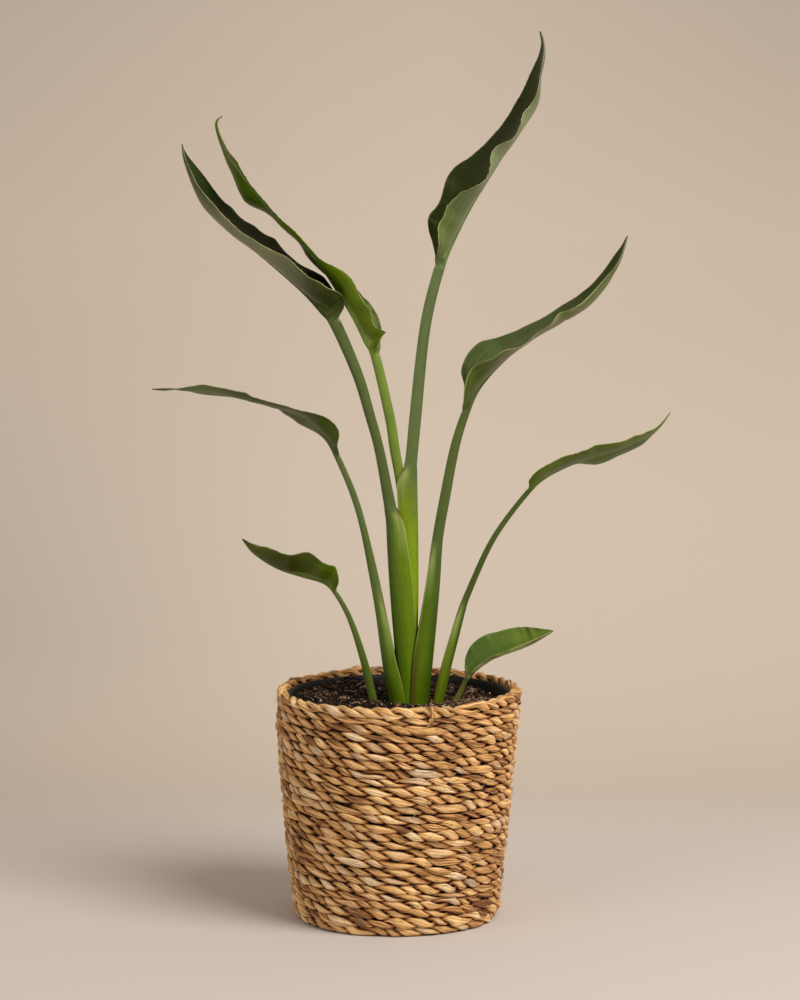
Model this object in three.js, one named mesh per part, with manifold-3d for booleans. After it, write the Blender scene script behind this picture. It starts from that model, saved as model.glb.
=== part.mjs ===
// Potted bird of paradise (Strelitzia): a fan of eight leaves growing from a
// nursery pot that stands in a basket coiled from twisted grass rope.
// Millimetres, +Z up. The origin is the centre of the basket's underside; the fan
// of leaves opens along X, and its front faces -Y.

import * as THREE from "three";
import { mergeVertices } from "three/addons/utils/BufferGeometryUtils.js";
import Module from "manifold-3d";

const GAP = 0.3; // clearance between pieces that rest on or in each other

// Basket: rope rows stacked into a slightly tapering wall
const ROWS = 26;
const BASKET_HEIGHT = 215;
const ROW_HEIGHT = BASKET_HEIGHT / ROWS;
const ROPE = 9; // rope diameter, a little more than the height of a packed row
const BASKET_TOP_RADIUS = 115.5;
const BASKET_FOOT_RADIUS = 97;
const BASKET_BELLY = 1.5; // how far the wall stands out of a straight taper
const BASKET_LEAN = -2.6; // the handmade wall sits off centre below its rim
const BASKET_SIDES = 56;
const FOOT_TUCK = 7; // how far the wall rounds in under the lowest row
const FOOT_ROW_TUCK = 1.5; // how far the lowest row itself sits in
const FLOOR_FILLET = 3; // between the coiled floor and the inside of the wall
const ROW_VALLEY = 2.8; // depth of the groove between two rows
const TWIST_BULGE = 0.7; // relief of the twisted strands on a row's crest
const TWIST_SLANT = 1.3; // how far the strands swing up and down along a row

// Nursery pot: thin moulded plastic, standing on the basket's floor
const POT_RIM_RADIUS = 104.4;
const POT_TOP_RADIUS = 101;
const POT_FOOT_RADIUS = 77;
const POT_TOP = 212;
const POT_BOTTOM = ROPE + GAP;
const POT_WALL = 1.2;
const POT_FLOOR = POT_BOTTOM + 1.8; // upper face of its floor
const POT_RIM_HEIGHT = 16;
const POT_FOOT_EDGE = 2; // small rounding where the wall meets the floor
const POT_SIDES = 36;
const DRAIN_HOLES = 6;
const DRAIN_RADIUS = 5;
const DRAIN_CIRCLE = 58; // radius of the circle that the drain holes lie on
const DRAIN_SIDES = 10;

// Potting soil
const SOIL_TOP = 197;
const SOIL_SIDES = 36;
const SOIL_RINGS = 8;
const SOIL_SLACK = 0.9; // between the pot's wall and the soil
// Lumps of its surface, as waves: [height, per mm along X, per mm along Y, phase]
const SOIL_WAVES = [
  [0.8, 0.11, 0.13, 2.9],
  [0.8, 0.11, -0.13, 2.9],
  [1, 0.31, 0.23, 1.6],
  [0.8, 0.19, -0.37, 0.8],
];
const ROOT_DEPTH = 11; // how far the stalks reach below SOIL_TOP
const HOLE_CLEARANCE = 0.8;
const HOLE_SIDES = 16;
const HOLE_LEVELS = [0, 9, 18]; // heights of a hole's sections above its bottom

// Leaves
const BLADE_THICKNESS = 0.8;
const SHEATH_EDGE = 0.9; // thickness of a sheath at its free margins
const SHEATH_WALL = 0.5; // up to this share of its depth a section's wall is a sheath
const SOLID_WALL = 0.72; // from this share on the section is a channelled stalk
const STALK_ARC = 7; // points along the outer arc of a stalk's section, less one
const RIB_ROOT = 0.75; // midrib below the blade at its start, in stalk depths
const RIB_DEPTH = 1.5; // midrib below the blade, once it has left the stalk
const RIB_FADE = 0.22; // share of the blade over which it gets that slender
const RIB_TAPER = 0.6; // share of its depth that the midrib loses towards the tip
const BLADE_BOW = 0.1; // how far each half of a blade bellies out, in half widths
const RIPPLE_OFFSET = 0.21; // shift between the ripples of the two halves, in waves
const NARROWEST = 0.5; // half width that a blade keeps at its tip
const DEG = Math.PI / 180;

const ROPE_COLOR = 0xb98a4a;
const POT_COLOR = 0x1c1c1d;
const SOIL_COLOR = 0x2a211b;
const STALK_COLOR = 0x5b8a2a;

// Each leaf is one line, its keel, that rises from the soil along the back of the
// stalk and runs on as the underside of the blade's midrib.
// stalk: [x, y, z, depth, width, wrap, wall] up the keel. The section reaches
//   `depth` in from the keel and `width` across the fan; its arc wraps `wrap`
//   degrees to each side, and it is `wall` thick at the keel, so a low wall makes
//   a sheath that clasps the younger stalks.
// blade: [x, y, z, near width, near lean, far width, far lean]. Each half is a
//   width and the angle at which it leans from the plane of the fan, the near
//   half towards -Y and the far half towards +Y.
const LEAVES = [
  {
    name: "left_low",
    side: -1,
    steps: { stalk: 7, blade: 12 },
    ripple: { height: 1.2, waves: 2.5, phase: 0.4 },
    color: 0x4f7a2c,
    stalk: [
      [-24, 2, 186, 7.4, 8, 105, 6],
      [-27.5, 2, 199, 7.4, 8, 105, 6],
      [-36, 1, 237, 6.8, 7, 105, 5.6],
      [-48, 0, 277, 5, 6, 105, 4.2],
      [-61, -1, 302, 4.2, 4.6, 105, 3.4],
    ],
    blade: [
      [-61, -1, 302, 3, 60, 3, 60],
      [-71, -2, 312, 24, 24, 22, 48],
      [-90, -3, 318, 26, 20, 25, 46],
      [-111, -4, 325, 23, 36, 23, 54],
      [-127, -4, 334, 18, 38, 18, 56],
      [-138, -5, 343, 11, 42, 11, 58],
      [-146, -5, 354, 0.6, 60, 0.6, 60],
    ],
  },
  {
    name: "left_middle",
    side: -1,
    steps: { stalk: 12, blade: 18 },
    ripple: { height: 1.6, waves: 3.5, phase: 0.1 },
    color: 0x44662f,
    stalk: [
      [-8, 0, 186, 15, 21.4, 114, 2.4],
      [-10, 0, 204, 15.5, 22, 114, 2.6],
      [-13, 0, 220, 15.2, 21.6, 112, 2.8],
      [-16.4, 0, 240, 13.4, 17.6, 110, 3.8],
      [-22, 0, 283, 10, 11.6, 108, 5.6],
      [-27.5, 0, 316, 8.6, 9.2, 105, 6.8],
      [-36, 0, 361, 6.4, 7.2, 105, 5.2],
      [-45, 1, 393, 6, 6.4, 105, 5],
      [-59, 2, 427, 5.4, 5.6, 105, 4.4],
    ],
    blade: [
      [-59, 2, 427, 3.4, 60, 3.4, 60],
      [-69, 3, 446, 24, 46, 22, 52],
      [-90, 4, 460, 30, 60, 28, 70],
      [-118, 5, 475, 30, 74, 29, 84],
      [-150, 6, 484, 28, 75, 27, 88],
      [-180, 7, 488, 21, 66, 21, 88],
      [-205, 8, 492, 11, 82, 11, 92],
      [-229, 8, 492, 0.6, 80, 0.6, 80],
    ],
  },
  {
    name: "left_high",
    side: -1,
    steps: { stalk: 19, blade: 19 },
    ripple: { height: 2, waves: 3.5, phase: 0.7 },
    color: 0x3c5a34,
    stalk: [
      [-2.5, 0, 186, 17.4, 17.8, 150, 1.8],
      [-3, 0, 210, 18.4, 18.6, 150, 2],
      [-4.5, 0, 250, 21, 20.6, 148, 2.6],
      [-7.4, 0, 285, 22, 21.6, 136, 3.4],
      [-9.8, 0, 318, 22, 21.6, 122, 4.6],
      [-11.4, 0, 346, 19.6, 20.6, 106, 6],
      [-12.4, 0, 368, 17, 18.8, 94, 7.6],
      [-13.8, 0, 380, 12, 15, 96, 8.8],
      [-15.2, 0, 391, 10.6, 11, 105, 8.8],
      [-23, 0, 436, 9, 10, 105, 7.4],
      [-31, 0, 466, 8.8, 9.8, 105, 7.2],
      [-42.5, 1, 505, 8.6, 9.6, 105, 7],
      [-62, 2, 552, 9, 9.4, 105, 7.4],
    ],
    blade: [
      [-62, 2, 552, 5, 60, 5, 60],
      [-71, 2, 564.5, 27, 32, 22, 46],
      [-87, 2, 582, 33, 56, 30, 52],
      [-107, 2, 600, 36, 73, 35, 66],
      [-132, 1, 619.5, 38, 73, 37, 65],
      [-160, 0, 640.5, 36, 74, 36, 61],
      [-180.5, -1, 661, 30, 70, 30, 60],
      [-190.5, -2, 683, 22, 66, 22, 54],
      [-197.5, -3, 703, 12, 74, 12, 62],
      [-199.5, -3, 718, 0.6, 60, 0.6, 60],
    ],
  },
  {
    name: "youngest",
    side: -1,
    steps: { stalk: 12, blade: 20 },
    ripple: { height: 1.3, waves: 4.5, phase: 0.25 },
    color: 0x5f8f1e,
    stalk: [
      [4.4, 0, 186, 5.2, 5.2, 105, 4.6],
      [3.6, 0, 250, 6.4, 6.4, 105, 5.6],
      [1.8, 0, 315, 7.6, 7.4, 105, 6.6],
      [0.6, 0, 362, 8, 8, 105, 7],
      [-0.6, 0, 384, 8.6, 8.4, 105, 7.4],
      [-4, 0, 410, 9, 9, 105, 7.6],
      [-9, 1, 437, 9.4, 9, 105, 7.8],
      [-13.4, 2, 466, 9.2, 9, 105, 7.6],
      [-26, 4, 521, 8.8, 8.6, 105, 7.2],
    ],
    blade: [
      [-26, 4, 521, 4.4, 60, 4.4, 60],
      [-31, 4, 536.5, 21, 36, 20, 36],
      [-41, 4, 557, 27, 48, 27, 36],
      [-57, 4, 583, 30, 56, 29, 66],
      [-78, 4, 612, 26, 78, 26, 101],
      [-105, 5, 641, 24, 81, 24, 95],
      [-125, 6, 665, 24, 88, 24, 110],
      [-142, 7, 686, 20, 85, 21, 117],
      [-158, 8, 708, 13, 78, 13, 104],
      [-167.5, 8, 735, 4, 70, 4, 90],
      [-163, 8, 744, 0.6, 60, 0.6, 60],
    ],
  },
  {
    name: "top",
    side: 1,
    steps: { stalk: 17, blade: 20 },
    ripple: { height: 2.2, waves: 4, phase: 0 },
    color: 0x3b5c31,
    stalk: [
      [14.6, 0, 186, 12.4, 12.6, 130, 3],
      [15.4, 0, 210, 13, 13.4, 130, 3.4],
      [16.8, 0, 250, 14.6, 15, 130, 4.4],
      [17.8, 0, 300, 17, 16.2, 130, 5.6],
      [17.8, 0, 350, 18.6, 15, 130, 6.4],
      [17.2, 0, 385, 18.6, 14, 130, 6.6],
      [16.8, 0, 404, 19, 13.4, 122, 7],
      [16.7, 0, 416, 14.6, 12.8, 110, 8.4],
      [16.8, 0, 428, 11.2, 11.2, 105, 9.2],
      [20.4, 0, 466, 11.2, 11.2, 105, 9.2],
      [26.2, 0, 529, 10.2, 10.8, 105, 8.4],
      [32, 0, 566, 10, 10.4, 105, 8.2],
      [41.5, 0, 603, 9.6, 9.8, 105, 8],
    ],
    blade: [
      [41.5, 0, 603, 5, 60, 5, 60],
      [49.5, 0, 625, 33, 64, 33, 46],
      [68, -1, 662, 41, 62, 42, 49],
      [90, -2, 698, 43, 80, 43, 58],
      [110, -3, 727, 40, 71, 40, 66],
      [126.5, -4, 752, 34, 81, 34, 63],
      [132, -5, 780, 24, 76, 24, 64],
      [134.5, -6, 805, 12, 84, 12, 72],
      [129, -6, 820, 0.6, 60, 0.6, 60],
    ],
  },
  {
    name: "right_high",
    side: 1,
    steps: { stalk: 15, blade: 19 },
    ripple: { height: 1.8, waves: 4, phase: 0.55 },
    color: 0x3f6030,
    stalk: [
      [26, 0, 186, 16.4, 21.4, 110, 2.6],
      [28, 0, 205, 17, 22, 110, 2.8],
      [31.8, 0, 243, 18.6, 22.4, 112, 3.4],
      [35.2, 0, 279, 15.8, 17.4, 114, 4.6],
      [38, 0, 313, 13, 13.2, 112, 5.4],
      [39.6, 0, 340, 11, 11.2, 108, 6.8],
      [41.2, 0, 358, 9.8, 10.4, 105, 8],
      [47, 0, 391, 9.6, 10, 105, 7.8],
      [55.4, -1, 437, 8.6, 9, 105, 7.2],
      [64.5, -1, 469, 7.4, 7.6, 105, 6.2],
    ],
    blade: [
      [64.5, -1, 469, 4, 60, 4, 60],
      [75, -2, 493, 30, 59, 30, 52],
      [95, -2, 516.5, 37, 72, 37, 60],
      [120, -3, 537.5, 38, 84, 38, 75],
      [147, -4, 554, 37, 81, 37, 75],
      [173, -5, 570, 33, 78, 33, 72],
      [191, -6, 588, 25, 70, 25, 66],
      [203, -6, 611, 13, 78, 13, 70],
      [210, -6, 634, 0.6, 60, 0.6, 60],
    ],
  },
  {
    name: "right_middle",
    side: 1,
    steps: { stalk: 13, blade: 15 },
    ripple: { height: 1.4, waves: 3, phase: 0.3 },
    color: 0x4a6d30,
    stalk: [
      [38.6, 5, 186, 9.4, 13, 112, 3],
      [42.6, 5, 205, 9.8, 13.4, 112, 3.2],
      [48, 5, 230, 9.4, 12.6, 112, 3.4],
      [55, 5, 258, 8.4, 10.6, 112, 3.6],
      [61.4, 5, 284, 7, 8.8, 108, 4.4],
      [66.4, 5, 300, 5.8, 7.4, 105, 4.6],
      [84, 6, 341, 5.2, 5.8, 105, 4.2],
      [99.5, 7, 367, 4.8, 5.2, 105, 3.8],
      [122, 8, 396, 4.4, 4.8, 105, 3.6],
    ],
    blade: [
      [122, 8, 396, 2.6, 60, 2.6, 60],
      [136, 8, 409, 20, 62, 20, 66],
      [156, 9, 419.5, 26, 65, 25, 70],
      [178, 10, 428, 27, 64, 27, 96],
      [200, 11, 434, 25, 68, 25, 103],
      [219, 12, 442, 20, 70, 20, 100],
      [235, 12, 451, 13, 73, 13, 94],
      [252, 12, 470, 0.6, 60, 0.6, 60],
    ],
  },
  {
    name: "right_low",
    side: 1,
    steps: { stalk: 5, blade: 12 },
    ripple: { height: 0.7, waves: 1.5, phase: 0.2 },
    color: 0x4a7a30,
    stalk: [
      [50, 8, 186, 5.6, 6, 105, 4.6],
      [54.5, 8, 197, 5.4, 5.6, 105, 4.4],
      [60, 7, 209, 4.6, 5, 105, 3.8],
      [65, 6, 220.5, 4.2, 4.6, 105, 3.4],
    ],
    blade: [
      [65, 6, 220.5, 2.6, 60, 2.6, 60],
      [73.5, 5, 230, 16, 76, 17, 36],
      [87, 4, 241.5, 21, 80, 22, 36],
      [103, 2, 249.5, 23, 80, 23, 45],
      [118, 0, 255.5, 20, 80, 20, 50],
      [130.5, -2, 261.5, 13, 78, 13, 46],
      [143.5, -3, 268.5, 0.6, 60, 0.6, 60],
    ],
  },
];

const wasm = await Module();
wasm.setup();

// ---------------------------------------------------------------- mesh helpers

// A closed mesh from rings of points, each ring the same length; the first and the
// last ring are closed by the triangles that cap(ring) lists.
function skin(rings, cap) {
  const points = rings.flat();
  const around = rings[0].length;
  const faces = [];
  for (let j = 0; j < rings.length - 1; j++) {
    for (let i = 0; i < around; i++) {
      const a = j * around + i;
      const b = j * around + ((i + 1) % around);
      faces.push(a, b, b + around, a, b + around, a + around);
    }
  }
  const last = (rings.length - 1) * around;
  for (const [a, b, c] of cap(around)) {
    faces.push(c, b, a);
    faces.push(last + a, last + b, last + c);
  }
  const geometry = new THREE.BufferGeometry().setFromPoints(points);
  geometry.setIndex(faces);
  return geometry;
}

// Cap of a ring whose second half runs back along its first half: a strip
// between the two, split alike on every ring.
function stripCap(around) {
  const faces = [];
  for (let i = 0; i < around / 2 - 1; i++) {
    const j = around - 1 - i;
    faces.push([i, i + 1, j], [i + 1, j - 1, j]);
  }
  return faces.filter(([a, b, c]) => a !== b && b !== c && a !== c);
}

// Cap of a ring that is convex.
function fanCap(around) {
  return Array.from({ length: around - 2 }, (_, i) => [0, i + 1, i + 2]);
}

function outward(geometry) {
  const p = geometry.getAttribute("position");
  const index = geometry.index.array;
  let volume = 0;
  const [a, b, c] = [0, 1, 2].map(() => new THREE.Vector3());
  for (let i = 0; i < index.length; i += 3) {
    [a, b, c].forEach((v, k) => v.fromBufferAttribute(p, index[i + k]));
    volume += a.dot(b.cross(c));
  }
  if (volume < 0) index.reverse();
  return geometry;
}

function toSolid(geometry) {
  const bare = geometry.index ? geometry.toNonIndexed() : geometry.clone();
  bare.deleteAttribute("normal");
  bare.deleteAttribute("uv");
  const merged = mergeVertices(bare, 1e-4);
  return new wasm.Manifold(
    new wasm.Mesh({
      numProp: 3,
      vertProperties: new Float32Array(merged.getAttribute("position").array),
      triVerts: new Uint32Array(merged.index.array),
    }),
  );
}

function toGeometry(solid) {
  const mesh = solid.getMesh();
  const geometry = new THREE.BufferGeometry();
  geometry.setAttribute("position", new THREE.BufferAttribute(mesh.vertProperties, 3));
  geometry.setIndex(new THREE.BufferAttribute(mesh.triVerts, 1));
  return geometry;
}

// ---------------------------------------------------------------------- leaves

// Value of a Catmull-Rom curve through the rows of a table, column by column.
function sample(rows, u, column) {
  const at = Math.min(u * (rows.length - 1), rows.length - 1 - 1e-9);
  const i = Math.floor(at);
  const t = at - i;
  const value = (k) => rows[Math.min(Math.max(k, 0), rows.length - 1)][column];
  const [a, b, c, d] = [value(i - 1), value(i), value(i + 1), value(i + 2)];
  const curve = 3 * (b - c) + d - a;
  return b + 0.5 * t * (c - a + t * (2 * a - 5 * b + 4 * c - d + t * curve));
}

// The keel of a whole leaf, with the frame of its section at fraction u:
// `side` points to the front of the fan and `up` to the leaf's upper face.
class Keel {
  constructor(leaf) {
    this.leaf = leaf;
    this.rows = [...leaf.stalk, ...leaf.blade.slice(1)];
    this.root = (leaf.stalk.length - 1) / (this.rows.length - 1);
  }

  point(u) {
    return new THREE.Vector3(...[0, 1, 2].map((c) => sample(this.rows, u, c)));
  }

  frame(u) {
    const step = 0.002;
    const before = this.point(Math.max(u - step, 0));
    const along = this.point(Math.min(u + step, 1)).sub(before).normalize();
    const side = new THREE.Vector3(0, -1, 0);
    side.addScaledVector(along, -side.dot(along)).normalize();
    const up = side.clone().cross(along).multiplyScalar(this.leaf.side);
    return { at: this.point(u), along, side, up };
  }
}

// Section of a stalk, as [inward, sideways] from the keel: an outer arc and, back
// along the inside, either the shallow channel of a stalk or the wall of a sheath.
function stalkSection([depth, width, wrap, wall]) {
  const alpha = wrap * DEG;
  const a = depth / (1 - Math.cos(alpha));
  const b = width / 2;
  const edge = Math.min(SHEATH_EDGE, 0.2 * width);
  const solid = THREE.MathUtils.smoothstep(wall / depth, SHEATH_WALL, SOLID_WALL);
  const outer = [];
  const inner = [];
  for (let i = 0; i <= STALK_ARC; i++) {
    const f = (2 * i) / STALK_ARC - 1;
    const phi = f * alpha;
    outer.push([a - a * Math.cos(phi), b * Math.sin(phi)]);
    const t = edge + (wall - edge) * Math.cos((f * Math.PI) / 2) ** 3;
    const shell = [a - (a - t) * Math.cos(phi), (b - t) * Math.sin(phi)];
    const endIn = a - (a - edge) * Math.cos(alpha);
    const endSide = (b - edge) * Math.sin(alpha);
    const channel = [wall + (endIn - wall) * f * f, endSide * f];
    inner.push(shell.map((v, k) => THREE.MathUtils.lerp(v, channel[k], solid)));
  }
  return [...outer, ...inner.reverse()];
}

function stalkRing(keel, u) {
  const { at, side, up } = keel.frame(u);
  const values = [3, 4, 5, 6].map((c) => sample(keel.leaf.stalk, u / keel.root, c));
  return stalkSection(values).map(([inward, sideways]) =>
    at.clone().addScaledVector(up, inward).addScaledVector(side, sideways),
  );
}

function stalkGeometry(leaf) {
  const keel = new Keel(leaf);
  const rings = [];
  for (let k = 0; k <= leaf.steps.stalk; k++)
    rings.push(stalkRing(keel, (keel.root * k) / leaf.steps.stalk));
  return outward(skin(rings, stripCap));
}

// The plain round hole that a stalk stands in, leaning with it.
function stalkHole(leaf) {
  const keel = new Keel(leaf);
  const bottom = SOIL_TOP - ROOT_DEPTH - GAP;
  const rings = [];
  let u = 0;
  for (const height of HOLE_LEVELS) {
    while (keel.point(u).z < bottom + height) u += 0.001;
    const at = keel.point(u);
    const row = (column) => sample(leaf.stalk, u / keel.root, column);
    const a = row(3) / (1 - Math.cos(row(5) * DEG));
    const b = row(4) / 2;
    const ring = [];
    for (let i = 0; i < HOLE_SIDES; i++) {
      const angle = (i / HOLE_SIDES) * 2 * Math.PI;
      const x = at.x - leaf.side * a + (a + HOLE_CLEARANCE) * Math.cos(angle);
      const y = at.y + (b + HOLE_CLEARANCE) * Math.sin(angle);
      ring.push(new THREE.Vector3(x, y, bottom + height));
    }
    rings.push(ring);
  }
  return outward(skin(rings, fanCap));
}

// One point of a blade: `half` is +1 on the near half and -1 on the far half, and
// `across` runs from the midrib to the margin.
function bladeProfile(leaf, keel, t) {
  const u = keel.root + (1 - keel.root) * t;
  const frame = keel.frame(u);
  const rootDepth = leaf.stalk.at(-1)[3];
  const fade = THREE.MathUtils.smoothstep(t, 0, RIB_FADE);
  const root = RIB_ROOT * rootDepth;
  const rib = THREE.MathUtils.lerp(root, RIB_DEPTH, fade) * (1 - RIB_TAPER * t);
  const fold = frame.at.clone().addScaledVector(frame.up, rib);
  const upper = [];
  const lower = [];
  for (const half of [1, -1]) {
    const column = half > 0 ? 3 : 5;
    const width = Math.max(sample(leaf.blade, t, column), NARROWEST);
    const lean = sample(leaf.blade, t, column + 1) * DEG;
    const toward = frame.up.clone().multiplyScalar(Math.cos(lean));
    toward.addScaledVector(frame.side, half * Math.sin(lean));
    const out = frame.up.clone().multiplyScalar(-Math.sin(lean));
    out.addScaledVector(frame.side, half * Math.cos(lean));
    const { height, waves, phase } = leaf.ripple;
    const swing = Math.sin(2 * Math.PI * (waves * t + phase + RIPPLE_OFFSET * half));
    const ripple = height * swing * Math.sin(Math.PI * t);
    const ribEdge = Math.min(rib, 0.45 * width) / width;
    for (const step of [0, 1, 2, 3]) {
      if (step === 0 && half < 0) continue;
      const q = step === 0 ? 0 : THREE.MathUtils.lerp(ribEdge, 1, (step - 1) / 2);
      const bow = BLADE_BOW * width * 4 * q * (1 - q);
      const mid = fold.clone().addScaledVector(toward, q * width);
      mid.addScaledVector(out, bow + ripple * q * q);
      const normal = step === 0 ? frame.up.clone().negate() : out;
      const under = step === 0 ? rib : BLADE_THICKNESS / 2;
      upper.push(mid.clone().addScaledVector(normal, -BLADE_THICKNESS / 2));
      lower.push(mid.clone().addScaledVector(normal, under));
    }
  }
  // from the near margin over the midrib to the far margin
  const order = [3, 2, 1, 0, 4, 5, 6];
  return [...order.map((i) => upper[i]), ...order.map((i) => lower[i]).reverse()];
}

function bladeGeometry(leaf) {
  const keel = new Keel(leaf);
  const length = leaf.steps.blade;
  const start = keel.point(keel.root).distanceTo(keel.point(keel.root + 0.01)) * 100;
  const gap = GAP / start / (1 - keel.root);
  const rings = [];
  for (let k = 0; k <= length; k++)
    rings.push(bladeProfile(leaf, keel, gap + ((1 - gap) * k) / length));
  return outward(skin(rings, stripCap));
}

// ---------------------------------------------------------------------- basket

// Cup of rope rows: the outside shows every row and the slant of its strands, the
// inside is plain and the underside flat.
function basketGeometry() {
  const wallRadius = (z) => {
    const t = z / BASKET_HEIGHT;
    const taper = THREE.MathUtils.lerp(BASKET_FOOT_RADIUS, BASKET_TOP_RADIUS, t);
    return taper + BASKET_BELLY * Math.sin(Math.PI * t);
  };
  const rings = [];
  const ring = (radius, z, bulge = 0, slant = 0, shift = 0) => {
    const centre = BASKET_LEAN * (1 - (z / BASKET_HEIGHT) ** 4);
    const points = [];
    for (let i = 0; i < BASKET_SIDES; i++) {
      const angle = (i / BASKET_SIDES) * 2 * Math.PI;
      const sign = (i + shift) % 2 ? 1 : -1;
      const [x, y] = [Math.cos(angle), Math.sin(angle)].map((v) => (radius + bulge * sign) * v);
      points.push(new THREE.Vector3(centre + x, y, z + slant * sign));
    }
    rings.push(points);
  };
  ring(wallRadius(0) - FOOT_TUCK, 0);
  for (let row = 0; row < ROWS; row++) {
    const z = (row + 0.5) * ROW_HEIGHT;
    const tuck = row === 0 ? FOOT_ROW_TUCK : 0;
    ring(wallRadius(z) - tuck, z, TWIST_BULGE, TWIST_SLANT, row);
    if (row < ROWS - 1) ring(wallRadius(z) - ROW_VALLEY, z + ROW_HEIGHT / 2);
  }
  ring(wallRadius(BASKET_HEIGHT) - ROPE / 2, BASKET_HEIGHT);
  const inner = (z) => wallRadius(z) - ROPE;
  ring(inner(BASKET_HEIGHT) + 1, BASKET_HEIGHT - ROPE / 2);
  ring(inner(BASKET_HEIGHT - ROPE), BASKET_HEIGHT - ROPE);
  ring(inner(BASKET_HEIGHT / 2), BASKET_HEIGHT / 2);
  ring(inner(ROPE * 2), ROPE * 2);
  ring(inner(ROPE) - FLOOR_FILLET, ROPE);
  return outward(skin(rings, fanCap));
}

// ------------------------------------------------------------ pot, soil, stalks

// Outer radius of the pot's tapering wall.
function potRadius(z) {
  const t = (z - POT_BOTTOM) / (POT_TOP - POT_BOTTOM);
  return THREE.MathUtils.lerp(POT_FOOT_RADIUS, POT_TOP_RADIUS, t);
}

function potGeometry() {
  const ledge = POT_TOP - POT_RIM_HEIGHT;
  const round = POT_WALL / 2; // rounding of the rim's edges
  const inside = POT_FOOT_RADIUS - POT_WALL;
  const profile = [
    [0, POT_BOTTOM],
    [POT_FOOT_RADIUS - POT_FOOT_EDGE, POT_BOTTOM],
    [POT_FOOT_RADIUS, POT_BOTTOM + POT_FOOT_EDGE],
    [potRadius(ledge) - round, ledge],
    [POT_RIM_RADIUS - round, ledge],
    [POT_RIM_RADIUS, POT_TOP - round],
    [POT_RIM_RADIUS - round, POT_TOP],
    [POT_RIM_RADIUS - round - POT_WALL, POT_TOP],
    [potRadius(ledge) - round - POT_WALL, ledge - POT_WALL],
    [inside, POT_FLOOR + POT_FOOT_EDGE],
    [inside - POT_FOOT_EDGE, POT_FLOOR],
    [0, POT_FLOOR],
  ].map(([r, z]) => new THREE.Vector2(r, z));
  const body = new THREE.LatheGeometry(profile, POT_SIDES).rotateX(Math.PI / 2);
  let solid = toSolid(body);
  for (let k = 0; k < DRAIN_HOLES; k++) {
    const angle = ((k + 0.5) / DRAIN_HOLES) * 2 * Math.PI;
    const drill = new THREE.CylinderGeometry(DRAIN_RADIUS, DRAIN_RADIUS, ROPE, DRAIN_SIDES);
    drill.rotateX(Math.PI / 2);
    const [x, y] = [Math.cos(angle), Math.sin(angle)].map((v) => DRAIN_CIRCLE * v);
    drill.translate(x, y, POT_BOTTOM);
    solid = solid.subtract(toSolid(drill));
  }
  return toGeometry(solid);
}

// Soil fills the pot: its surface is lumpy, and the stalks stand in plain holes.
function soilGeometry() {
  const floor = POT_FLOOR + GAP;
  const wall = (z) => potRadius(z) - POT_WALL - SOIL_SLACK;
  const surface = (x, y) =>
    SOIL_WAVES.reduce(
      (z, [height, kx, ky, phase]) => z + height * Math.cos(kx * x + ky * y + phase),
      SOIL_TOP,
    );
  const rings = [];
  const ring = (radius, height) => {
    const points = [];
    for (let i = 0; i < SOIL_SIDES; i++) {
      const angle = (i / SOIL_SIDES) * 2 * Math.PI;
      const [x, y] = [radius * Math.cos(angle), radius * Math.sin(angle)];
      points.push(new THREE.Vector3(x, y, height(x, y)));
    }
    rings.push(points);
  };
  const edge = 2 * POT_FOOT_EDGE;
  ring(wall(floor) - edge / 2, () => floor);
  ring(wall(floor + edge) - GAP, () => floor + edge);
  const brim = wall(POT_TOP - POT_RIM_HEIGHT - edge);
  for (let k = 0; k < SOIL_RINGS; k++) ring(brim * (1 - k / SOIL_RINGS), surface);
  let solid = toSolid(outward(skin(rings, fanCap)));
  for (const leaf of LEAVES) solid = solid.subtract(toSolid(stalkHole(leaf)));
  const bodies = solid.decompose().sort((a, b) => b.volume() - a.volume());
  return toGeometry(bodies[0]);
}

// ------------------------------------------------------------------------ plant

function named(name, geometry, color, roughness) {
  const material = new THREE.MeshStandardMaterial({ color, roughness, metalness: 0 });
  const flat = geometry.index ? geometry.toNonIndexed() : geometry;
  flat.computeVertexNormals();
  const mesh = new THREE.Mesh(flat, material);
  mesh.name = name;
  return mesh;
}

const plant = new THREE.Group();
plant.add(named("rope_basket", basketGeometry(), ROPE_COLOR, 0.8));
plant.add(named("nursery_pot", potGeometry(), POT_COLOR, 0.5));
plant.add(named("potting_soil", soilGeometry(), SOIL_COLOR, 0.95));
for (const leaf of LEAVES) {
  plant.add(named(`stalk_${leaf.name}`, stalkGeometry(leaf), STALK_COLOR, 0.45));
  plant.add(named(`blade_${leaf.name}`, bladeGeometry(leaf), leaf.color, 0.4));
}

export default plant;
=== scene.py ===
"""Dresses the potted bird of paradise: leaves, stalks, soil, nursery pot and rope basket."""

import math

import bpy
import numpy as np
from bpy.props import FloatProperty, FloatVectorProperty, IntProperty, PointerProperty
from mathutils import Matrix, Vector, noise


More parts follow.
